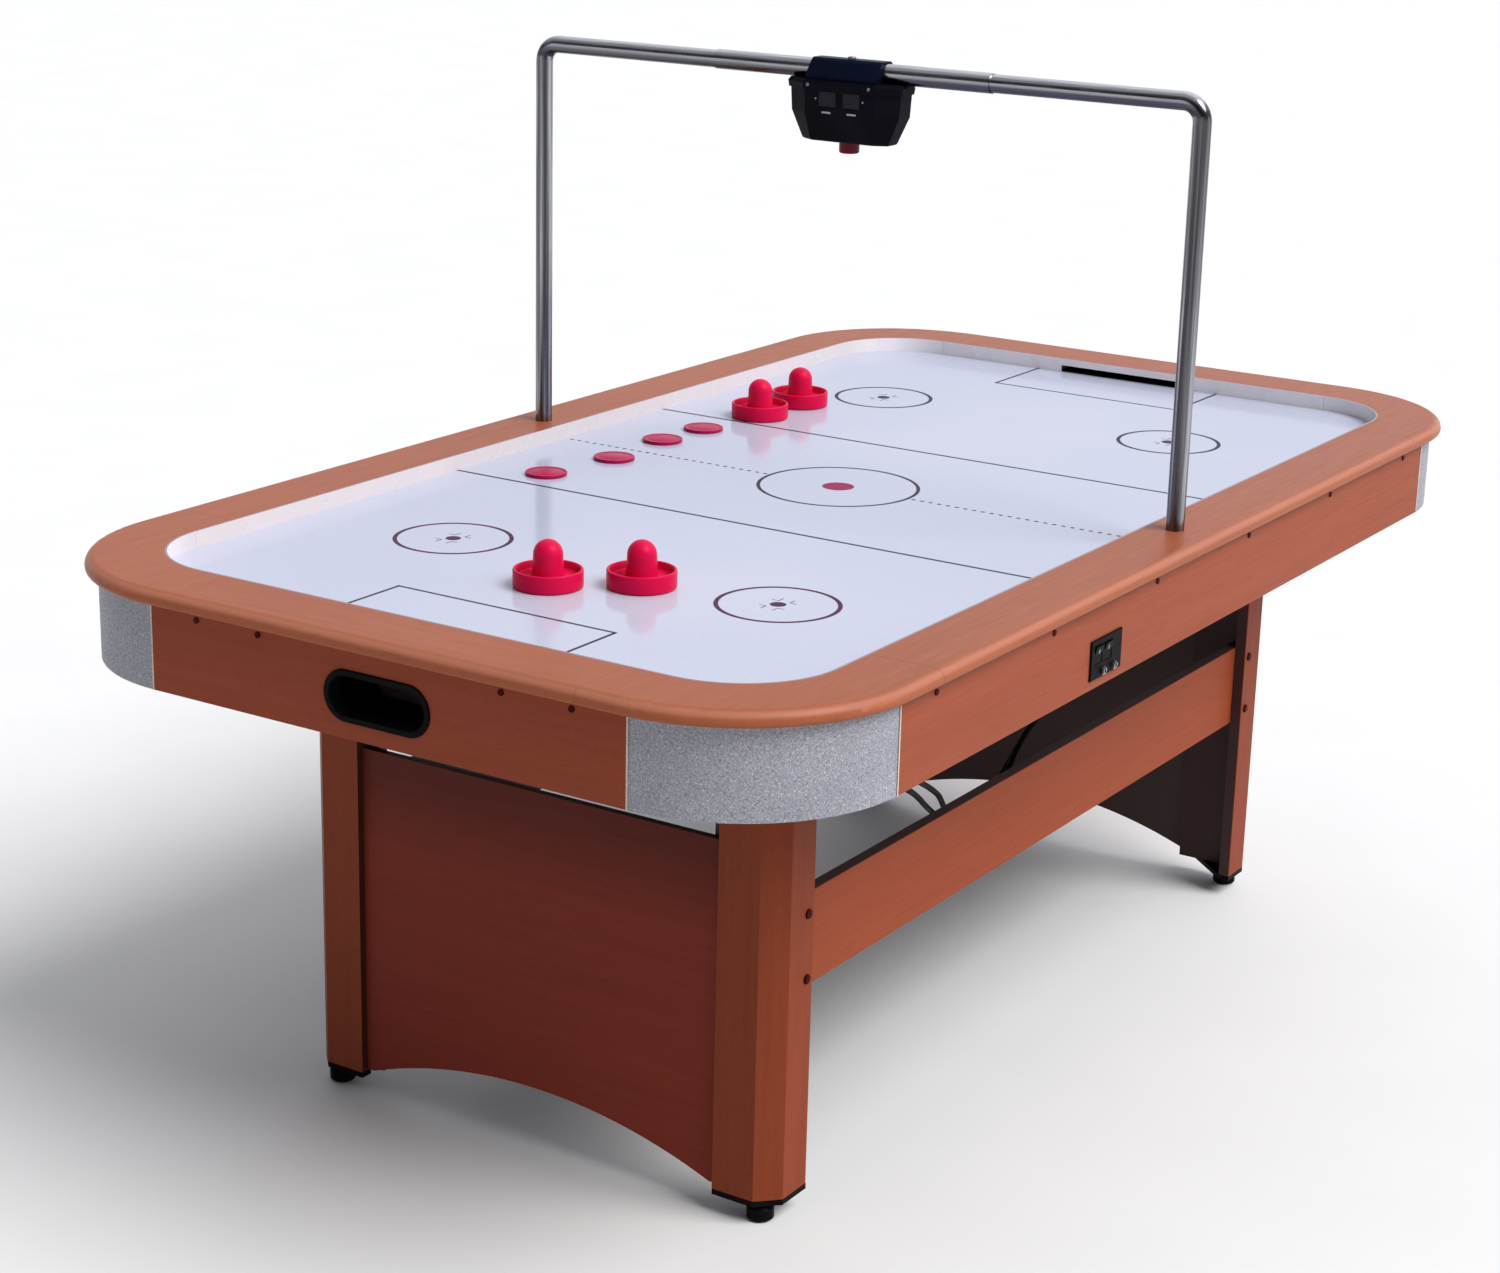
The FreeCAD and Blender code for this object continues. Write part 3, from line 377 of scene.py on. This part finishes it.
def smoked_window(name):
    """Dark window of the scorer with the faint bars of its unlit digits behind it."""
    s = Shader(name, 0.16, Specular_IOR_Level=0.06)
    haze = s.noise(60.0, 3.0, 0.6)
    upright = (math.radians(90), 0.0, math.radians(90))
    bars = s.node("ShaderNodeTexBrick", {
        "Vector": s.stretched((1.0, 1.0, 1.0), upright), "Scale": 62.0,
        "Color1": (0.0, 0.0, 0.0, 1.0), "Color2": (0.2, 0.2, 0.2, 1.0),
        "Mortar": (1.0, 1.0, 1.0, 1.0), "Mortar Size": 0.035}).outputs["Color"]
    body = s.ramp(haze, [(0.3, (0.0060, 0.0062, 0.0120)), (0.7, (0.0120, 0.0120, 0.0200))])
    s.set("Base Color", s.mix(s.maths("MULTIPLY", bars, 0.5), body, (0.030, 0.030, 0.042)))
    s.set("Roughness", s.ramp(haze, [(0.3, 0.12), (0.7, 0.22)]))
    s.bump(haze, 0.05, 0.0003)
    return s.material


def make_materials():
    rail = (0.325, 0.092, 0.041)
    black = (0.0036, 0.0036, 0.0040)
    dull = 0.03
    return {
        "rail_x": rail_wood("cherry_rail_along_x", "x", rail),
        "rail_y": rail_wood("cherry_rail_along_y", "y", rail),
        # Painted light: the side aprons' cherry is set lighter than the posts', for the stronger
        # light that falls on them.
        "wood_x": wood("cherry_apron_along_x", "x", (0.286, 0.069, 0.033)),
        "wood_z": wood("cherry_post", "z", (0.224, 0.045, 0.018)),
        "beam_x": wood("cherry_stretcher", "x", (0.285, 0.058, 0.021)),
        "end_y": wood("cherry_end_apron", "y", (0.262, 0.054, 0.024)),
        "panel": panel_wood("cherry_panel", "y", (0.208, 0.032, 0.018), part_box("leg_panel_left")),
        # Painted shade: near-black cherry for the strip of post in the angle beside the end panel.
        "shade_in_reveal": wood("cherry_shade_in_reveal", "z", (0.060, 0.015, 0.010)),
        "inner": plain_board("stained_inner_face", (0.048, 0.019, 0.019), 0.66),
        "inner_post": plain_board("stained_post_inside", (0.034, 0.005, 0.005), 0.66),
        "raw": plain_board("raw_board_edge", (0.60, 0.50, 0.42), 0.75),
        "field": field_surface("glossy_field"),
        # White wall: its first colour is painted light for the end walls, its last painted shade for
        # the wall tops.
        "wall": rink_wall("white_wall", (0.93, 0.90, 0.93), (0.64, 0.58, 0.59), (0.22, 0.16, 0.18)),
        "cover": speckled("speckled_cover"),
        "black": plastic("black_moulding", black, 0.36, dull, spread=0.35),
        "black_fine": plastic("black_case", (0.0046, 0.0046, 0.0085), 0.38, dull,
                              grain=900.0, depth=0.14, spread=0.4),
        "clamp": plastic("blue_black_clamp", (0.0022, 0.0050, 0.0155), 0.34, dull,
                         grain=700.0, depth=0.08, spread=0.4),
        "smoked": smoked_window("smoked_window"),
        "red": plastic("red_moulding", (0.600, 0.0034, 0.054), 0.36, 0.08,
                       grain=500.0, depth=0.05, spread=0.06),
        "puck": plastic("red_puck", (0.375, 0.0030, 0.062), 0.34, 0.12,
                        grain=500.0, depth=0.04, spread=0.06),
        "button": plastic("red_button", (0.130, 0.0015, 0.012), 0.34, 0.15,
                          grain=500.0, depth=0.05, spread=0.1),
        "tube_z": steel("steel_upright", "z", (0.170, 0.170, 0.185), 0.20),
        "tube_y": crossbar("steel_crossbar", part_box("gantry_sleeve")),
        "bright": steel("plated_metal", "x", (0.26, 0.26, 0.26), 0.28),
        "rim_screw": steel("small_screw", "x", (0.09, 0.09, 0.10), 0.34),
        "screw": plastic("dark_screw", (0.045, 0.0040, 0.0030), 0.42, dull,
                         grain=900.0, depth=0.1, spread=0.5),
        "sheath": plastic("black_sheath", black, 0.50, dull, grain=400.0, depth=0.08, spread=0.3),
        "board": plastic("solder_mask", (0.015, 0.10, 0.045), 0.3, depth=0.05, spread=0.25),
        "motor": steel("zinc_plate", "z", (0.45, 0.45, 0.46), 0.32),
        "line": ink("dark_line", (0.030, 0.022, 0.040)),
        "maroon": ink("maroon_line", (0.058, 0.010, 0.040)),
        "red_ink": ink("red_dot", (0.245, 0.002, 0.060)),
        "mark": plastic("white_mark", (0.36, 0.36, 0.39), 0.5, 0.2, spread=0.12),
    }


def paint(node, *materials):
    """Gives a CAD node its materials, in slot order."""
    mesh = NODES[node].data
    mesh.materials.clear()
    for material in materials:
        mesh.materials.append(material)


def paint_faces(node, choose, *materials):
    """Gives each face of a CAD node the slot that choose(centre, normal) returns."""
    paint(node, *materials)
    for face in NODES[node].data.polygons:
        face.material_index = choose(face.center, face.normal)


# ------------------------------------------------------------------ mesh helpers

def add_object(name, data, body, material):
    made = bpy.data.objects.new(name, data)
    bpy.context.scene.collection.objects.link(made)
    data.materials.append(material)
    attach(made, body)
    return made


def turned(profile, segments):
    """Points and faces of a closed solid of revolution about Z; the profile runs axis to axis."""
    points = [(0.0, 0.0, profile[0][1])]
    for r, z in profile[1:-1]:
        for i in range(segments):
            a = 2 * math.pi * i / segments
            points.append((r * math.cos(a), r * math.sin(a), z))
    points.append((0.0, 0.0, profile[-1][1]))
    faces = []
    rows = len(profile) - 2
    for i in range(segments):
        j = (i + 1) % segments
        faces.append((0, 1 + j, 1 + i))
        for row in range(rows - 1):
            a = 1 + row * segments
            faces.append((a + i, a + j, a + segments + j, a + segments + i))
        a = 1 + (rows - 1) * segments
        faces.append((a + i, a + j, len(points) - 1))
    return points, faces


def arc(cx, cz, radius, start, end, steps):
    """Points of a profile's round stretch, angles in degrees from +R towards +Z."""
    turns = [math.radians(start + (end - start) * i / steps) for i in range(steps + 1)]
    return [(cx + radius * math.cos(a), cz + radius * math.sin(a)) for a in turns]


class Shapes:
    """Closed shapes gathered in one mesh."""

    def __init__(self):
        self.points = []
        self.faces = []

    def prism(self, low, high):
        """Solid between two loops that run counter-clockwise seen from the high side."""
        n = len(low)
        base = len(self.points)
        self.points += low + high
        self.faces.append(tuple(range(base + n - 1, base - 1, -1)))
        self.faces.append(tuple(range(base + n, base + 2 * n)))
        for i in range(n):
            j = (i + 1) % n
            self.faces.append((base + i, base + j, base + n + j, base + n + i))

    def build(self, name, body, material):
        data = bpy.data.meshes.new(name)
        data.from_pydata(self.points, [], self.faces)
        data.validate()
        data.update()
        return add_object(name, data, body, material)


# ------------------------------------------------------------------ printed lines of the field

INK_T = 0.0001                  # thickness of the print
LINE_W = 0.0046
CROSS_LINE_W = LINE_W * 1.2
RING_W = 0.0060
FIELD_MARGIN = 0.003            # from the playfield's edge to the rink walls
CENTRE_RING_R = 0.117
CENTRE_RING_W = RING_W * 0.9
CENTRE_DOT_R = 0.0235
CROSS_LINE_X = 0.266
DASH = 0.0060                   # the dashed centre line: dash, pitch and first dash
DASH_PITCH = 0.0142
DASH_START = 0.124
CREASE_X = 0.795
CREASE_Y = 0.169
SPOT_X = 0.571                  # face-off spots
SPOT_Y = 0.260
SPOT_RING_R = 0.0785
SPOT_R = 0.0105
TICK_X = 0.0145                 # corner of a small tick beside a spot
TICK_Y = 0.0085
TICK_ACROSS = 0.012
TICK_UP = 0.010
TICK_W = 0.0014


class Flat(Shapes):
    """Thin closed shapes printed on the field."""

    def __init__(self, z):
        super().__init__()
        self.levels = (z, z + INK_T)

    def outline(self, loop):
        """Prism over a convex loop, counter-clockwise from above."""
        self.prism(*([(x, y, z) for x, y in loop] for z in self.levels))

    def stroke(self, a, b, width):
        a, b = Vector(a), Vector(b)
        side = (b - a).normalized().orthogonal() * (width / 2)
        loop = [a - side, a + side, b + side, b - side]
        area = sum(p.x * q.y - q.x * p.y for p, q in zip(loop, loop[1:] + loop[:1]))
        self.outline([tuple(p) for p in (loop if area > 0 else loop[::-1])])

    def disc(self, centre, radius, segments=64):
        turns = [2 * math.pi * i / segments for i in range(segments)]
        self.outline([(centre[0] + radius * math.cos(a), centre[1] + radius * math.sin(a))
                      for a in turns])

    def ring(self, centre, radius, width, segments=128):
        """Closed band of the given width round a circle."""
        base = len(self.points)
        for z in self.levels:
            for r in (radius - width / 2, radius + width / 2):
                for i in range(segments):
                    a = 2 * math.pi * i / segments
                    self.points.append((centre[0] + r * math.cos(a),
                                        centre[1] + r * math.sin(a), z))
        low_in, low_out, top_in, top_out = (base + k * segments for k in range(4))
        for i in range(segments):
            j = (i + 1) % segments
            self.faces.append((top_in + i, top_out + i, top_out + j, top_in + j))
            self.faces.append((low_in + j, low_out + j, low_out + i, low_in + i))
            self.faces.append((low_out + i, low_out + j, top_out + j, top_out + i))
            self.faces.append((low_in + j, low_in + i, top_in + i, top_in + j))


def make_markings(mats):
    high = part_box("playfield")[1]
    goal_x = high.x - FIELD_MARGIN
    side = high.y - FIELD_MARGIN
    lines, maroon, dots = Flat(high.z), Flat(high.z), Flat(high.z)

    lines.ring((0.0, 0.0), CENTRE_RING_R, CENTRE_RING_W)
    dots.disc((0.0, 0.0), CENTRE_DOT_R)
    for x in (-CROSS_LINE_X, CROSS_LINE_X):
        lines.stroke((x, -side), (x, side), CROSS_LINE_W)
    y = DASH_START
    while y + DASH < side:
        for sy in (-1, 1):
            lines.stroke((0.0, sy * y), (0.0, sy * (y + DASH)), LINE_W)
        y += DASH_PITCH

    for sx in (-1, 1):
        crease_x = sx * CREASE_X
        for sy in (-1, 1):
            lines.stroke((sx * goal_x, sy * CREASE_Y), (crease_x, sy * CREASE_Y), LINE_W)
        reach = CREASE_Y + LINE_W / 2
        lines.stroke((crease_x, -reach), (crease_x, reach), LINE_W)
        circles = maroon if sx < 0 else lines
        for sy in (-1, 1):
            spot = Vector((sx * SPOT_X, sy * SPOT_Y))
            circles.ring(spot, SPOT_RING_R, RING_W)
            circles.disc(spot, SPOT_R)
            for kx in (-1, 1):
                for ky in (-1, 1):
                    corner = spot + Vector((kx * TICK_X, ky * TICK_Y))
                    lines.stroke(corner, corner + Vector((kx * TICK_ACROSS, 0.0)), TICK_W)
                    lines.stroke(corner, corner + Vector((0.0, ky * TICK_UP)), TICK_W)
    lines.build("field_lines", "table", mats["line"])
    maroon.build("faceoff_rings", "table", mats["maroon"])
    dots.build("field_dots", "table", mats["red_ink"])


# ------------------------------------------------------------------ small marks

MARK_SUNK = 0.0001              # how far a mark reaches into its surface, and stands out of it
MARK_PROUD = 0.00025
MARK_STEPS = 48
DOT_D = 0.0026
DOT_Y = 0.0385                  # the scorer's dots, beside its windows
BAR_SIZE = (0.0150, 0.0026)
BAR_Y = 0.0205                  # the scorer's bars, under its windows
BAR_BELOW = 0.0085
STROKE_SIZE = (0.0022, 0.0060)
STROKE_BELOW = 0.0075           # under a rocker's top edge
SCORER_CLEAR = 0.3              # where a line towards the scorer or a rocker starts
ROCKER_CLEAR = 0.05


class Marks(Shapes):
    """Small raised marks lying on CAD surfaces."""

    def add(self, node, start, way, size):
        """Stadium of the given width and height where a line from start meets the node."""
        mesh = NODES[node].data
        tree = BVHTree.FromPolygons([v.co for v in mesh.vertices],
                                    [p.vertices[:] for p in mesh.polygons])
        place, out = tree.ray_cast(Vector(start), Vector(way))[:2]
        side = Vector((0, 0, 1)).cross(out).normalized()
        above = out.cross(side)
        width, height = size
        radius = min(size) / 2
        loop = []
        for i in range(MARK_STEPS):
            a = 2 * math.pi * (i + 0.5) / MARK_STEPS
            u = math.copysign(width / 2 - radius, math.cos(a)) + radius * math.cos(a)
            v = math.copysign(height / 2 - radius, math.sin(a)) + radius * math.sin(a)
            loop.append(place + (side * u + above * v))
        self.prism([p - out * MARK_SUNK for p in loop], [p + out * MARK_PROUD for p in loop])


def make_marks(mats):
    """Two indicator dots and two plain bars on each face of the scorer, a stroke on each rocker."""
    low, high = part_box("scorer_windows")
    middle = (low.z + high.z) / 2
    marks = Marks()
    for side, shell in ((-1, "scorer_front_shell"), (1, "scorer_back_shell")):
        outside, inwards = side * SCORER_CLEAR, (-side, 0, 0)
        for s in (-1, 1):
            marks.add(shell, (outside, s * DOT_Y, middle), inwards, (DOT_D, DOT_D))
            marks.add(shell, (outside, s * BAR_Y, low.z - BAR_BELOW), inwards, BAR_SIZE)
    marks.build("scorer_marks", "table", mats["mark"])
    for name in ("rocker_left", "rocker_right"):
        low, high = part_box(name)
        stroke = Marks()
        start = ((low.x + high.x) / 2, low.y - ROCKER_CLEAR, high.z - STROKE_BELOW)
        stroke.add(name, start, (0, 1, 0), STROKE_SIZE)
        stroke.build(name + "_stroke", name, mats["mark"])


# ------------------------------------------------------------------ bare edges

BARE_W = 0.0022                 # width of the strip in a joint
BARE_T = 0.0003                 # half thickness of a strip
BARE_TOP = 0.0032               # height of the strip along a cover's top
BOW_STEPS = 40


class Edges(Shapes):
    """Upright strips, straight or bent through a quarter turn."""

    def strip(self, x0, x1, y0, y1, z0, z1):
        loop = ((x0, y0), (x1, y0), (x1, y1), (x0, y1))
        self.prism(*([(x, y, z) for x, y in loop] for z in (z0, z1)))

    def bow(self, cx, cy, start, radius, z0, z1):
        base = len(self.points)
        for i in range(BOW_STEPS + 1):
            a = start + math.pi / 2 * i / BOW_STEPS
            for r in (radius - BARE_T, radius + BARE_T):
                for z in (z0, z1):
                    self.points.append((cx + r * math.cos(a), cy + r * math.sin(a), z))
        for i in range(BOW_STEPS):
            a, b = base + 4 * i, base + 4 * (i + 1)
            for p, q in ((0, 2), (2, 3), (3, 1), (1, 0)):
                self.faces.append((a + p, b + p, b + q, a + q)[::-1])
        self.faces.append((base, base + 1, base + 3, base + 2)[::-1])
        end = base + 4 * BOW_STEPS
        self.faces.append((end, end + 1, end + 3, end + 2))


def make_bare_edges(mats):
    """Bare board edges: where the aprons meet the corner covers, and along each cover's top."""
    edges = Edges()
    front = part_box("apron_front")
    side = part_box("apron_left")
    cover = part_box("corner_covers")
    w, t = BARE_W / 2, BARE_T
    quarter = {(1, 1): 0, (-1, 1): 90, (-1, -1): 180, (1, -1): 270}
    for sx in (-1, 1):
        for sy in (-1, 1):
            x, y = sx * front[1].x, sy * front[0].y
            edges.strip(x - w, x + w, y - t, y + t, front[0].z, front[1].z)
            x, y = sx * side[0].x, sy * side[1].y
            edges.strip(x - t, x + t, y - w, y + w, side[0].z, side[1].z)
            edges.bow(sx * front[1].x, sy * side[1].y, math.radians(quarter[sx, sy]),
                      cover[1].y - side[1].y, cover[1].z - BARE_TOP, cover[1].z)
    edges.build("bare_edges", "table", mats["raw"])


# ------------------------------------------------------------------ loose pieces

PUSHER_R = 0.0455
PUSHER_H = 0.062
KNOB_R = 0.0192
RIM_H = 0.024
DISH_H = 0.013
FOOT_ROUND = 0.0025
RIM_ROUND = 0.0020
DISH_ROUND = 0.0030             # between the rim and the dish
KNOB_FILLET = 0.0040
TAPER_Z = 0.032                 # a level on the knob's taper, between its fillet and its dome
PUCK_R = 0.031
PUCK_T = 0.005
PUCK_ROUND = 0.0012
GROOVE_DEPTH = 0.0005
TURN_STEPS = 96


def moulded(name, suffix, profile, material):
    """A turned piece in place of the CAD solid that it is named after."""
    low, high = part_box(name)
    points, faces = turned(profile, TURN_STEPS)
    data = bpy.data.meshes.new(name + suffix)
    data.from_pydata(points, [], faces)
    data.shade_smooth()
    data.transform(Matrix.Translation(((low.x + high.x) / 2, (low.y + high.y) / 2, low.z)))
    piece = add_object(name + suffix, data, name, material)
    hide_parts(name)


def make_pushers(mats):
    """Rimmed dish with a domed, slightly tapered knob that meets it in a soft fillet."""
    profile = [(0.0, 0.0), (0.020, 0.0), (PUSHER_R - 0.0030, 0.0)]
    profile += arc(PUSHER_R - FOOT_ROUND, FOOT_ROUND, FOOT_ROUND, -70, 0, 5)
    profile += arc(PUSHER_R - RIM_ROUND, RIM_H - RIM_ROUND, RIM_ROUND, 0, 170, 12)
    profile += arc(PUSHER_R - 0.0085, DISH_H + DISH_ROUND, DISH_ROUND, 0, -90, 6)
    profile += [(0.032, DISH_H)]
    profile += arc(KNOB_R + 0.0055, DISH_H + KNOB_FILLET, KNOB_FILLET, -90, -176, 7)
    profile += [(KNOB_R + 0.0004, TAPER_Z)]
    profile += arc(0.0, PUSHER_H - KNOB_R, KNOB_R, 0, 84, 18)
    profile += [(0.0, PUSHER_H)]
    for name in ("pusher_1", "pusher_2", "pusher_3", "pusher_4"):
        moulded(name, "_moulding", profile, mats["red"])


def make_pucks(mats):
    """Disc with a rounded rim, and a shallow groove that leaves a raised band along it."""
    shoulder = PUCK_R - PUCK_ROUND
    middle, groove = PUCK_T - 0.0001, PUCK_T - GROOVE_DEPTH
    profile = [(0.0, 0.0), (shoulder, 0.0)]
    profile += arc(shoulder, PUCK_ROUND, PUCK_ROUND, -60, 0, 4)
    profile += arc(shoulder, PUCK_T - PUCK_ROUND, PUCK_ROUND, 0, 90, 5)
    profile += [(PUCK_R - 0.0035, PUCK_T), (PUCK_R - 0.0043, groove)]
    profile += [(PUCK_R - 0.0085, groove), (PUCK_R - 0.0093, middle), (0.0, middle)]
    for name in ("puck_1", "puck_2", "puck_3", "puck_4"):
        moulded(name, "_disc", profile, mats["puck"])


# ------------------------------------------------------------------ hanging leads

LEAD_D = 0.008
LEADS = {                       # route points in millimetres
    "sensor_lead_1": [
        (-672, -452, 686), (-668, -451, 658), (-648, -448, 624), (-610, -441, 592),
        (-560, -431, 563), (-506, -418, 536), (-446, -397, 507), (-380, -369, 474),
        (-308, -336, 438), (-236, -311, 398), (-186, -304, 369), (-140, -303, 354),
        (-92, -304, 349), (-50, -307, 364), (-22, -312, 398), (-8, -320, 438), (-2, -344, 480),
        (0, -376, 524), (0, -412, 566), (-1, -450, 604), (-3, -490, 636), (-4, -524, 668),
        (-4, -537, 708)],
    "sensor_lead_2": [
        (-656, -470, 686), (-652, -469, 658), (-632, -464, 623), (-594, -455, 592),
        (-548, -444, 568), (-494, -429, 545), (-424, -405, 512), (-348, -374, 476),
        (-274, -341, 440), (-206, -311, 398), (-158, -294, 368), (-112, -286, 351),
        (-66, -284, 347), (-24, -288, 362), (2, -298, 396), (14, -312, 436), (18, -336, 478),
        (18, -368, 522), (15, -404, 566), (12, -444, 602), (8, -484, 634), (5, -520, 664),
        (5, -536, 706)],
}


def make_leads(mats):
    for node, route in LEADS.items():
        data = bpy.data.curves.new(node + "_sheath", "CURVE")
        data.dimensions = "3D"
        data.bevel_depth = LEAD_D / 2
        data.bevel_resolution = 6
        data.resolution_u = 12
        data.use_fill_caps = True
        line = data.splines.new("NURBS")
        line.points.add(len(route) - 1)
        for point, place in zip(line.points, route):
            point.co = (*[c / 1000 for c in place], 1.0)
        line.order_u = 3
        line.use_endpoint_u = True
        piece = add_object(node + "_sheath", data, "table", mats["sheath"])
        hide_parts(node)


# ------------------------------------------------------------------ finish of the CAD nodes

PANEL_FACE_X = 0.725            # an end panel's outer face, near enough to sort the posts' faces
STRIP_END_Y = 0.300             # where the strip in a post's angle ends
POST_FACE_Y = 0.364             # between a post's inner and outer side
SLEEVE_MARGIN = 0.004


def apron_face(axis):
    """Chooser for an apron: laminate outside and below, bare at its ends, stained inside."""
    other = 1 - axis

    def choose(c, n):
        if n[axis] * c[axis] > 0 or n.z < -0.2:
            return 0
        return 1 if abs(n[other]) > 0.5 else 2
    return choose


def outer_face(axis):
    """Chooser for a board on edge: laminate on its outer face, stained elsewhere."""
    return lambda c, n: 0 if n[axis] * c[axis] > 0.5 * abs(c[axis]) else 1


def post_face(c, n):
    """Slot of a post's face: laminate outside, painted shade on the strip beside the end panel,
    stained inside.
    """
    if abs(n.z) > 0.5:
        return 2
    beyond_panel = abs(c.x) > PANEL_FACE_X
    if n.y * c.y < -0.5 * abs(c.y):
        return 1 if abs(c.y) < STRIP_END_Y and beyond_panel else 2
    outside = (n.x * c.x > 0 and beyond_panel) or (n.y * c.y > 0 and abs(c.y) > POST_FACE_Y)
    return 0 if outside else 2


PLAIN_NODES = {
    "rail_x": ("rail_front", "rail_back", "rail_corners"),
    "rail_y": ("rail_left", "rail_right"),
    "field": ("playfield",),
    "wall": ("rink_side_walls", "rink_corner_walls", "rink_end_walls"),
    "cover": ("corner_covers",),
    "inner": ("plenum_floor", "plenum_frame", "leg_bearers"),
    "black": ("goal_pockets", "goal_boxes", "goal_sensors", "leg_caps",
              "leveller_front_left", "leveller_front_right",
              "leveller_back_left", "leveller_back_right",
              "power_plate", "rocker_left", "rocker_right",
              "blower_housing", "blower_impeller"),
    "screw": ("apron_screws", "leg_bolts", "gantry_sockets"),
    "tube_y": ("gantry_sleeve",),
    "black_fine": ("scorer_front_shell", "scorer_back_shell"),
    "smoked": ("scorer_windows",),
    "clamp": ("scorer_clamp",),
    "rim_screw": ("scorer_screws",),
    "board": ("scorer_board",),
    "button": ("scorer_button",),
    "bright": ("power_jacks",),
    "motor": ("blower_motor",),
}


def finish_nodes(mats):
    for material, nodes in PLAIN_NODES.items():
        for node in nodes:
            paint(node, mats[material])
    for node in ("apron_front", "apron_back"):
        paint_faces(node, apron_face(1), mats["wood_x"], mats["raw"], mats["inner"])
    for node in ("apron_left", "apron_right"):
        paint_faces(node, apron_face(0), mats["end_y"], mats["raw"], mats["inner"])
    paint_faces("leg_posts", post_face, mats["wood_z"], mats["shade_in_reveal"], mats["inner_post"])
    for node in ("leg_panel_left", "leg_panel_right"):
        paint_faces(node, outer_face(0), mats["panel"], mats["inner"])
    for node in ("stretcher_front", "stretcher_back"):
        paint_faces(node, outer_face(1), mats["beam_x"], mats["inner"])
    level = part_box("gantry_sleeve")[0].z - SLEEVE_MARGIN
    for node in ("gantry_tube_front", "gantry_tube_back"):
        paint_faces(node, lambda c, n: 1 if c.z > level else 0, mats["tube_z"], mats["tube_y"])


# ------------------------------------------------------------------ studio

SUN_TO = (0.03, -0.65, 0.76)    # direction of the main light
SUN_STRENGTH = 3.35
SUN_SPREAD = math.radians(38)
SUN_COLOUR = (1.0, 0.985, 0.965)
BRIGHT_SIDE = (0.60, -0.12, 0.0)
FLOOR_REACH = 1500.0
FLOOR_Z = -0.0005


def make_world():
    """Sky that is bright overhead and to the right, dim on the left, pale along the horizon."""
    world = bpy.data.worlds.new("studio")
    bpy.context.scene.world = world
    world.use_nodes = True
    sky = Nodes(world.node_tree)
    way = sky.node("ShaderNodeTexCoord").outputs["Generated"]
    up = sky.part_of(way, "Z")
    height = sky.ramp(up, [(0.0, (0.20, 0.21, 0.24)), (0.22, (0.46, 0.48, 0.53)),
                           (0.50, (0.68, 0.71, 0.76)), (0.90, (1.00, 1.02, 1.06))])
    aside = sky.vectors("DOT_PRODUCT", way, BRIGHT_SIDE).outputs["Value"]
    facing = sky.ramp(sky.maths("MULTIPLY_ADD", aside, 0.8, 0.5), [
        (0.0, (0.02, 0.02, 0.03)), (0.15, (0.10, 0.10, 0.11)), (0.25, 0.42), (0.40, 0.44),
        (0.60, 0.95), (0.80, 1.30), (1.00, 2.00)])
    haze = sky.ramp(up, [(0.08, 1.0), (0.20, 0.0)])
    light = sky.mix(haze, sky.mix(1.0, height, facing, "MULTIPLY"), (1.0, 1.0, 1.0))
    world.node_tree.links.new(light, world.node_tree.nodes["Background"].inputs["Color"])


def make_floor():
    far = FLOOR_REACH
    floor = bpy.data.meshes.new("studio_floor")
    floor.from_pydata([(-far, -far, 0), (far, -far, 0), (far, far, 0), (-far, far, 0)], [],
                      [(0, 1, 2, 3)])
    ground = bpy.data.objects.new("studio_floor", floor)
    ground.location.z = FLOOR_Z
    bpy.context.scene.collection.objects.link(ground)
    s = Shader("pale_floor", 0.85)
    pale = s.ramp(s.noise(3.0), [(0.3, (0.685, 0.685, 0.690)), (0.7, (0.705, 0.705, 0.710))])
    s.set("Base Color", pale)
    floor.materials.append(s.material)


def make_studio():
    scene = bpy.context.scene
    scene.view_settings.view_transform = "Standard"
    make_world()
    data = bpy.data.lights.new("key", "SUN")
    data.energy = SUN_STRENGTH
    data.angle = SUN_SPREAD
    data.color = SUN_COLOUR
    key = bpy.data.objects.new("key", data)
    key.rotation_euler = Vector(SUN_TO).to_track_quat("Z", "Y").to_euler()
    scene.collection.objects.link(key)
    make_floor()


def main():
    mats = make_materials()
    make_camera()
    make_leads(mats)
    make_studio()
    finish_nodes(mats)
    make_markings(mats)
    make_marks(mats)
    make_bare_edges(mats)
    make_pushers(mats)
    make_pucks(mats)


main()
